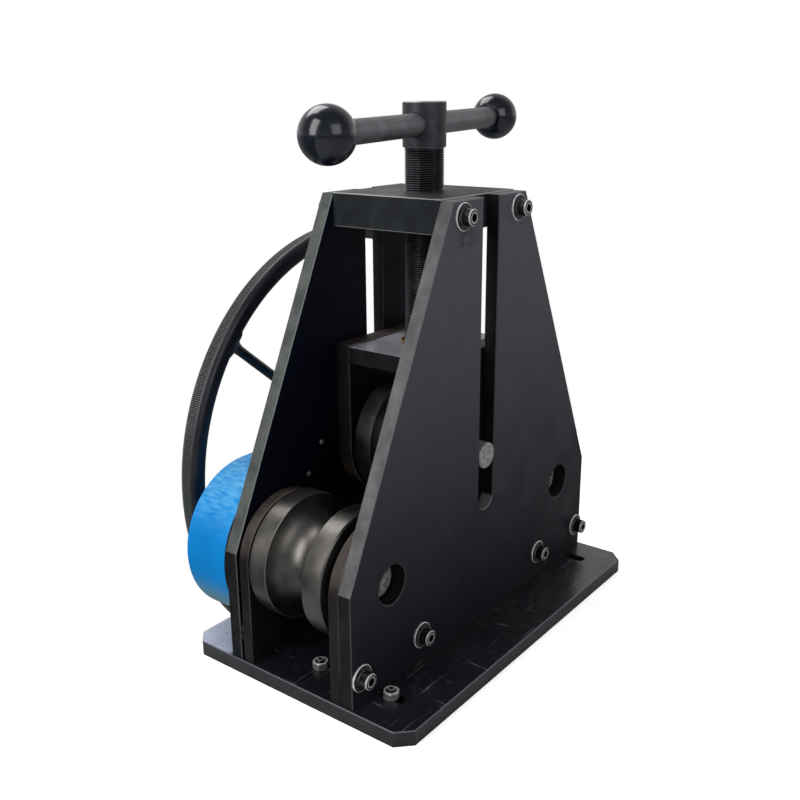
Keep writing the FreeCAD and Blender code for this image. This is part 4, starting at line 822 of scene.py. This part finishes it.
def cap_head(centre, seat, way, d=14.3, h=9.3, hexagon=6.0, depth=4.5, swing=0.12, columns=96):
    """Head of a socket cap screw along Y, from its seat in the direction way.
    Socket rows use the hexagon's radius; knurl rows swing either side
    of the head's radius, once every two columns.  The socket's rows are marked
    -1, which the finish paints dark as shade in the recess."""
    six = corner_reach(6, columns, hexagon)
    flat = np.ones(columns + 1)
    knurl = flat * d / 2 - swing + swing * np.cos(np.arange(columns + 1) * math.pi)
    r = d / 2
    round_r = rounded([(r - 3, h, 0), (r, h, 1.0), (r, h - 3, 0)], 6)
    rows = [(0 * flat, h - depth), (six, h - depth), (six, h - 0.35),
            (flat * (hexagon * TO_CORNER + 0.35), h)]
    rows += [(flat * a, b) for a, b in round_r.T[1:-1]]
    rows += [(knurl, h - 1.6), (knurl, h - 2.2), (knurl, 1.2), (knurl, 0.6)]
    rows += [(flat * (r - 0.5), 0), (0 * flat, 0)]
    radius = np.stack([a for a, b in rows])
    height = np.array([seat + way * b for a, b in rows])
    points, marks = turned(radius, height, (centre[0], 0, centre[1]), "Y", columns)
    socket = np.arange(len(rows))[:, None, None] < 3
    return points, np.where(socket, (-1, 0), marks)


def sunk_head(centre, face, way, d=16.0, h=4.0, columns=48):
    """Countersunk head, flush with the face, with a shallow hexagon socket."""
    six = corner_reach(6, columns, 5.0)
    flat = np.ones(columns + 1)
    radius = np.stack([0 * flat, six, six, flat * d / 2, flat * 4, 0 * flat])
    height = face - way * np.array([2.5, 2.5, 0, 0, h, h])
    return turned(radius, height, (centre[0], 0, centre[1]), "Y", columns)


PLATE_INSIDE, PLATE_FACE = span("far_side_plate", "Y")
SEAT = span("side_plate_washers", "Y")[1]
WASHER = (12, 4.4)
top_places = [(x, 404.5) for x in (-44, 44)]
foot_places = [(x, 40) for x in (-187, -103, 103, 187)]
heads = [cap_head(place, -SEAT, -1) for place in top_places + foot_places]
heads += [cap_head(place, SEAT, 1) for place in top_places]
heads += [sunk_head(place, PLATE_FACE, 1) for place in foot_places]
piece("side_plate_cap_screws", heads, "frame", screw_finish, ["side_plate_screws"])
washers = [ring(*WASHER, -SEAT, -PLATE_FACE, (x, 0, z), soft=0.6)
           for x, z in top_places + foot_places]
washers += [ring(*WASHER, PLATE_FACE, SEAT, (x, 0, z), soft=0.6) for x, z in top_places]
piece("side_plate_broad_washers", washers, "frame", washer_finish,
      ["side_plate_washers"])

case_places = [(-80, 38), (80, 38), (-118, 159), (118, 159)]
small = {"d": 10.0, "h": 6.0, "hexagon": 5.0, "depth": 3.0}
heads = [cap_head(place, CASE_FRONT, 1, **small) for place in case_places]
piece("gear_case_cap_screws", heads, "frame", screw_finish, ["gear_case_screws"])

# %% Hold-down studs, nuts and plug screws
def hexagon_nut(x, y, low, high, flats=13.0, bore=4.0, columns=96):
    """Six-sided nut.  A cone cuts each end: the radius is the smaller of the
    hexagon's and the cone's, which leaves the curved corner edges of a real nut."""
    six = corner_reach(6, columns, flats)
    cone = [flats / 2 * 0.95, flats / 2 * 1.03, flats / 2 * 1.2]
    radius = [np.full(columns + 1, bore), np.full(columns + 1, bore + 0.9)]
    height = [high - 0.8, high]
    for cap, z in zip(cone, (0, 0.35, 1.1)):
        radius.append(np.minimum(six, cap))
        height.append(high - z)
    for cap, z in zip(cone[::-1], (1.1, 0.35, 0)):
        radius.append(np.minimum(six, cap))
        height.append(low + z)
    radius += [radius[0], radius[0]]
    height += [low, high - 0.8]
    return turned(np.stack(radius), np.array(height), (x, y, 0), "Z", columns)


def threaded_rod(x, y, low, high, r=4.0, pitch=1.25, depth=0.61, bevel=0.9, columns=36):
    """Rod whose radius follows a screw line: it drops by depth x pitch half way
    between two crests, which climb one pitch a turn.  The end is bevelled."""
    z = np.linspace(low, high, int((high - low) / pitch * 8))
    angle = np.linspace(0, 1, columns + 1)
    phase = (z[:, None] / pitch - angle) % 1
    groove = depth * pitch * (1 - np.abs(2 * phase - 1))
    radius = np.minimum(r - groove, r - bevel + np.minimum(high - z, bevel)[:, None])
    end = np.zeros((1, columns + 1))
    return turned(np.concatenate([end, radius, end]), np.concatenate([[low], z, [high]]),
                  (x, y, 0), "Z", columns)


stud_places = [(-163.3, -85.0), (-166.0, -7.0)]
nuts = [hexagon_nut(*place, *span("hold_down_nuts", "Z")) for place in stud_places]
piece("hold_down_hexagon_nuts", nuts, "frame", screw_finish, ["hold_down_nuts"])
studs = [threaded_rod(*place, *span("hold_down_studs", "Z")) for place in stud_places]
piece("hold_down_threaded_studs", studs, "frame", screw_finish,
      ["hold_down_studs"])

# a plug's rim stands 0.6 mm out of the plate's inner face, and its middle is level with it
plug = rounded([(0, 67, 0), (2.5, 67, 0), (2.5, PLATE_INSIDE - 0.6, 0.5),
                (1.2, PLATE_INSIDE - 0.6, 0.1), (1.0, PLATE_INSIDE, 0.1), (0, PLATE_INSIDE, 0)])
plug_places = ((-83.3, 189.4), (-102.4, 163.2))
plugs = [turned(*plug, (x, 0, z), "Y", 36) for x, z in plug_places]
piece("inner_plug_screws", plugs, "frame", bright_finish, ["plug_screws"])

# %% [markdown]
# ## Axle, pressure screw and T-handle
#
# The axle carries the upper roller and its ends ride in the slots of the side
# plates.  The pressure screw is a 36 mm rod with a right-hand thread of 2 mm
# pitch.  Its rows are level rings and its groove depth depends on the height
# less the angle, so the crests climb one pitch for every turn.
#
# The bar goes straight through the screw's head.  A lathe profile can't have a
# cross hole, so the head is bored with a second shape and the result kept.

# %% Axle
low, high = span("pressure_axle", "Y")
AXLE_R = 12.4
axle = rounded([(0, low, 0), (AXLE_R, low, 0.9), (AXLE_R, high, 0.9), (0, high, 0)])
piece("bright_axle", [turned(*axle, (0, 0, AXLE_Z), "Y", 96)], "yoke",
      bright_finish, ["pressure_axle"])

# %% Pressure screw
PITCH, CREST = 2.0, 18.0
SCREW_FOOT, HEAD_TOP = span("pressure_screw", "Z")
HEAD_FOOT = HEAD_TOP - 39


def screw_body(low=282.0, high=HEAD_FOOT, depth=1.15, journal_r=12, columns=64):
    """Journal and thread in one profile.  The groove is a V of that depth with a
    flat crest and a flat floor.  It fades out over the first and the last pitch,
    so both ends are round."""
    z = np.linspace(low, high, int((high - low) / PITCH * 8) + 1)
    share = np.linspace(0, 1, columns + 1)
    phase = (z[:, None] / PITCH - share) % 1
    fade = np.clip(np.minimum(z - low, high - z) / PITCH, 0, 1)[:, None]
    radius = CREST - depth * fade * np.clip(1.25 * (1 - np.abs(2 * phase - 1)) - 0.12, 0, 1)
    journal = rounded([(0, SCREW_FOOT, 0), (journal_r, SCREW_FOOT, 1.0), (journal_r, 270, 0),
                       (journal_r, low, 0)])
    before = np.repeat(journal[0][:, None], columns + 1, 1)
    after = np.zeros((1, columns + 1))
    return turned(np.concatenate([before, radius, after]),
                  np.concatenate([journal[1], z, [high]]), (0, 0, 0), "Z", columns)


piece("pressure_screw_thread", [screw_body()], "screw", thread_finish)

# %% Bar, head and knobs
turn_angle, tilt_angle = math.radians(10.1), math.radians(1.2)
bar_way = np.array([math.cos(turn_angle) * math.cos(tilt_angle),
                    math.sin(turn_angle) * math.cos(tilt_angle), math.sin(tilt_angle)])
bar_side = np.cross(Z, bar_way)
bar_side /= np.linalg.norm(bar_side)
bar_axes = (bar_side, np.cross(bar_way, bar_side), bar_way)
HEAD_R, BAR_R, BAR_HALF, BALL_AT = 19.5, 10, 150, 164
BAR_MIDDLE = np.array([0, 0, HEAD_TOP - 19.5])
CROSS_HOLE = ([0, BAR_R + 0.55, BAR_R + 0.55, 0], [-40, -40, 40, 40])


def bore(made, grid):
    """Takes a closed grid's shape out of a piece and keeps the result."""
    tool = joined_mesh("boring_tool", [grid])
    # the bored walls get no marks
    tool.uv_layers.remove(tool.uv_layers[0])
    cutter = bpy.data.objects.new("boring_tool", tool)
    bpy.context.scene.collection.objects.link(cutter)
    cut = made.modifiers.new("bore", "BOOLEAN")
    cut.operation = "DIFFERENCE"
    cut.object = cutter
    made.modifiers.move(len(made.modifiers) - 1, 0)
    shown = made.modifiers["flat_faces_stay_flat"]
    shown.show_viewport = False
    bpy.context.view_layer.update()
    now = made.evaluated_get(bpy.context.evaluated_depsgraph_get())
    result = bpy.data.meshes.new_from_object(now)
    made.modifiers.remove(cut)
    made.data = result
    shown.show_viewport = True
    bpy.data.objects.remove(cutter)
    result.set_sharp_from_angle(angle=math.radians(SHARP))
    print(made.name, "bored:", len(result.polygons), "faces")


head = rounded([(0, HEAD_FOOT, 0), (HEAD_R, HEAD_FOOT, 0.5), (HEAD_R, HEAD_TOP, 1.2),
                (0, HEAD_TOP, 0)])
head_piece = piece("pressure_screw_head", [turned(*head, (0, 0, 0), "Z", 96)], "screw",
                   head_finish, ["pressure_screw"])
bore(head_piece, turned(*CROSS_HOLE, BAR_MIDDLE, bar_axes))

bar = rounded([(0, -BAR_HALF, 0), (BAR_R, -BAR_HALF, 0.5), (BAR_R, BAR_HALF, 0.5),
               (0, BAR_HALF, 0)])
piece("through_bar", [turned(*bar, BAR_MIDDLE, bar_axes, 72)], "screw",
      bar_finish, ["t_handle_bar"])


def ball_knob(way, r=22.5, flat_r=13.0):
    """Ball with a flat where the bar enters, and a narrow gap round the bar.  The
    ball's part of the profile is (r sin a, -r cos a) from the flat to the end."""
    start = math.asin(flat_r / r)
    flat = -r * math.cos(start)
    angle = np.linspace(start, math.pi, 48)
    neck = np.array([(0, flat + 3), (10.5, flat + 3), (10.5, flat), (flat_r - 0.4, flat)]).T
    ball = np.stack([r * np.sin(angle), -r * np.cos(angle)])
    axes = (bar_axes[0], bar_axes[1], bar_way * way)
    centre = BAR_MIDDLE + bar_way * way * BALL_AT
    return turned(*np.concatenate([neck, ball], 1), centre, axes, 96)


piece("ball_knobs", [ball_knob(-1), ball_knob(1)], "screw", phenolic,
      ["t_handle_knobs"])

# %% [markdown]
# ## Handwheel
#
# A steel ring and three rods are moulded over with black plastic.  The rim's
# section is a rectangle rounded until it is nearly a circle.  Fine ribs, 2 mm
# apart, cross the outer and back part of it, where the fingers close; a thin
# lip ends them, and the front is smooth.  The ribs are a rule for the radius
# too: it swings with the angle, three columns to a rib.  Where a spoke meets the
# rim, the moulding flares out, wider in the wheel's plane than across it.

# %% Rim and flares
WHEEL_R, RIM_HALF = 230.9, (9.3, 11.0)
spoke_angles = [math.radians(140.7 + 120 * i) for i in range(3)]


def ribbed_rim(ribs=720, depth=1.0, half=RIM_HALF, corner=7.5):
    """Section carried round the wheel.  Its points are the rectangle less its
    corners, plus corner x (cos t, sin t), t once round.  Ribs: the radius loses
    depth x half of (1 - cosine) where the depth coordinate is in the ribbed
    band.  The lip adds 0.2 mm in a bell 0.5 mm wide.  The mark is 1 on a crest
    and on the lip."""
    t = np.radians(np.concatenate([np.arange(-36, 61, 6), np.arange(75, 91, 15),
                                   np.arange(90, 181, 15), np.arange(180, 271, 15),
                                   np.arange(270, 316, 15), [324]]))
    t = np.insert(t, 6, 0.0)
    side = np.sign(np.round(np.cos(t), 6)), np.sign(np.round(np.sin(t), 6))
    side[1][6], side[1][7] = -1, 1
    out = side[0] * (half[0] - corner) + corner * np.cos(t)
    back = side[1] * (half[1] - corner) + corner * np.sin(t)
    wave = 0.5 - 0.5 * np.cos(np.arange(3 * ribs + 1) * 2 * math.pi / 3)
    band = np.clip((back + 4.9) / 0.5, 0, 1) * np.clip((9.6 - back) / 1.0, 0, 1) * (out > 0)
    lip = 0.2 * np.exp(-((back + 5.4) / 0.5) ** 2) * (out > 0)
    radius = (WHEEL_R + out + lip)[:, None] - depth * band[:, None] * wave
    loop = np.r_[0:len(t), 0]
    points, marks = turned(radius[loop], back[loop], HUB, "Y", 3 * ribs)
    crest = (band[:, None] * (1 - wave / 0.75) + 4 * lip[:, None])[loop]
    return points, np.stack([crest, marks[..., 1]], -1)


def spoke_axes(angle):
    """Directions for lathe work along a spoke at that angle in the wheel's plane."""
    way = math.cos(angle) * X + math.sin(angle) * Z
    return Y, np.cross(way, Y), way


def flare(angle, r=5.15, size=15.0, columns=48):
    """Trumpet between spoke and rim: its radius grows by a quarter circle, all of
    it in the wheel's plane and 0.3 of it across."""
    gap = np.linspace(size, 0, 14)
    grown = size - np.sqrt(size ** 2 - (size - gap) ** 2)
    across = np.cos(np.linspace(0, 2 * math.pi, columns + 1)) ** 2
    radius = r + grown[:, None] * (0.95 - 0.62 * across)
    start = WHEEL_R - RIM_HALF[0] + 1.6
    ends = np.zeros((1, columns + 1))
    radius = np.concatenate([ends, radius, radius[-1:] * 0.8, ends])
    height = np.concatenate([[start - size], start - gap, [start + 3], [start + 3]])
    points, marks = turned(radius, height, HUB, spoke_axes(angle), columns)
    return points, marks * (0, 1)


piece("ribbed_wheel_rim", [ribbed_rim()] + [flare(a) for a in spoke_angles], "drive",
      moulding, ["handwheel_rim"], sharp=60)

# %% Spokes and hub
rod = rounded([(0, 28, 0), (5, 28, 0), (5, 225, 0), (0, 225, 0)])
piece("wheel_rods", [turned(*rod, HUB, spoke_axes(a), 40) for a in spoke_angles], "drive",
      wheel_paint, ["handwheel_spokes"])

back, face = span("handwheel_hub", "Y")
hub = rounded([(11, back, 0), (19, back, 0.6), (19, 142, 1.5), (31, 142, 2), (31, face, 2),
               (27.5, face, 0.5), (26.5, face - 1.7, 0.5), (20, face - 1.7, 0.5),
               (19, face, 0.5), (11, face, 0), (11, back, 0)])
piece("turned_wheel_hub", [turned(*hub, SHAFT_LINE, "Y", 96)], "drive",
      wheel_paint, ["handwheel_hub"])
end_washer = ring(17, 4.2, face, face + 4, SHAFT_LINE, soft=0.6)
piece("wheel_end_screw", [end_washer, cap_head(DRIVE, face + 4, 1)], "drive",
      screw_finish, ["handwheel_end_washer"])

# %% [markdown]
# ## Finishes of the parts that stay as they are
#
# The flat parts are right as the solid modeller made them, broken corners and
# all, and so are the parts shut inside the case.  Each gets its finish in place
# of the plain colour it came with.

# %% Finishes for the remaining nodes
node_finishes = [
    (base_finish, ["base_plate"]), (side_plate_finish, ["near_side_plate"]),
    (far_plate_finish, ["far_side_plate"]), (nut_block_finish, ["nut_block"]),
    (cheek_finish, ["yoke_near_cheek", "yoke_far_cheek"]), (yoke_top_sheen_finish, ["yoke_top_plate"]),
    (case_back_finish, ["gear_case_back", "foot_spacers"]), (head_finish, ["screw_collar"]),
    (wheel_paint, ["handwheel_core_ring"]), (oily_bronze_finish, ["roll_shaft_bushes"]),
    (bronze_finish, ["drive_shaft_bushes", "upper_roller_bushes", "roller_thrust_washers",
                     "idler_bush_a", "idler_bush_b"]),
    (shaft_finish, ["front_roll_shaft", "rear_roll_shaft"]), (bright_finish, ["drive_shaft"]),
    (screw_finish, ["yoke_screws", "base_screws", "idler_clips", "front_roll_end_washer",
                    "rear_roll_end_washer"]),
    (gear_finish, ["gear_case_pillars", "idler_pins", "idler_gear_a", "idler_gear_b",
                   "drive_pinion", "drive_keys", "front_roll_keys", "rear_roll_keys",
                   "front_roll_gear", "rear_roll_gear"]),
]
for chosen, nodes in node_finishes:
    for node in nodes:
        for place in frame["nodes"][node].material_slots:
            place.material = chosen
print("finished nodes:", sum(len(nodes) for chosen, nodes in node_finishes))

# %% Box of the dressed machine
boxes = {"cad": [list(c) for c in cad_box], "visual": [list(c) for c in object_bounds()]}
for key, corners in boxes.items():
    print(key, [[round(v / MM, 1) for v in c] for c in corners])
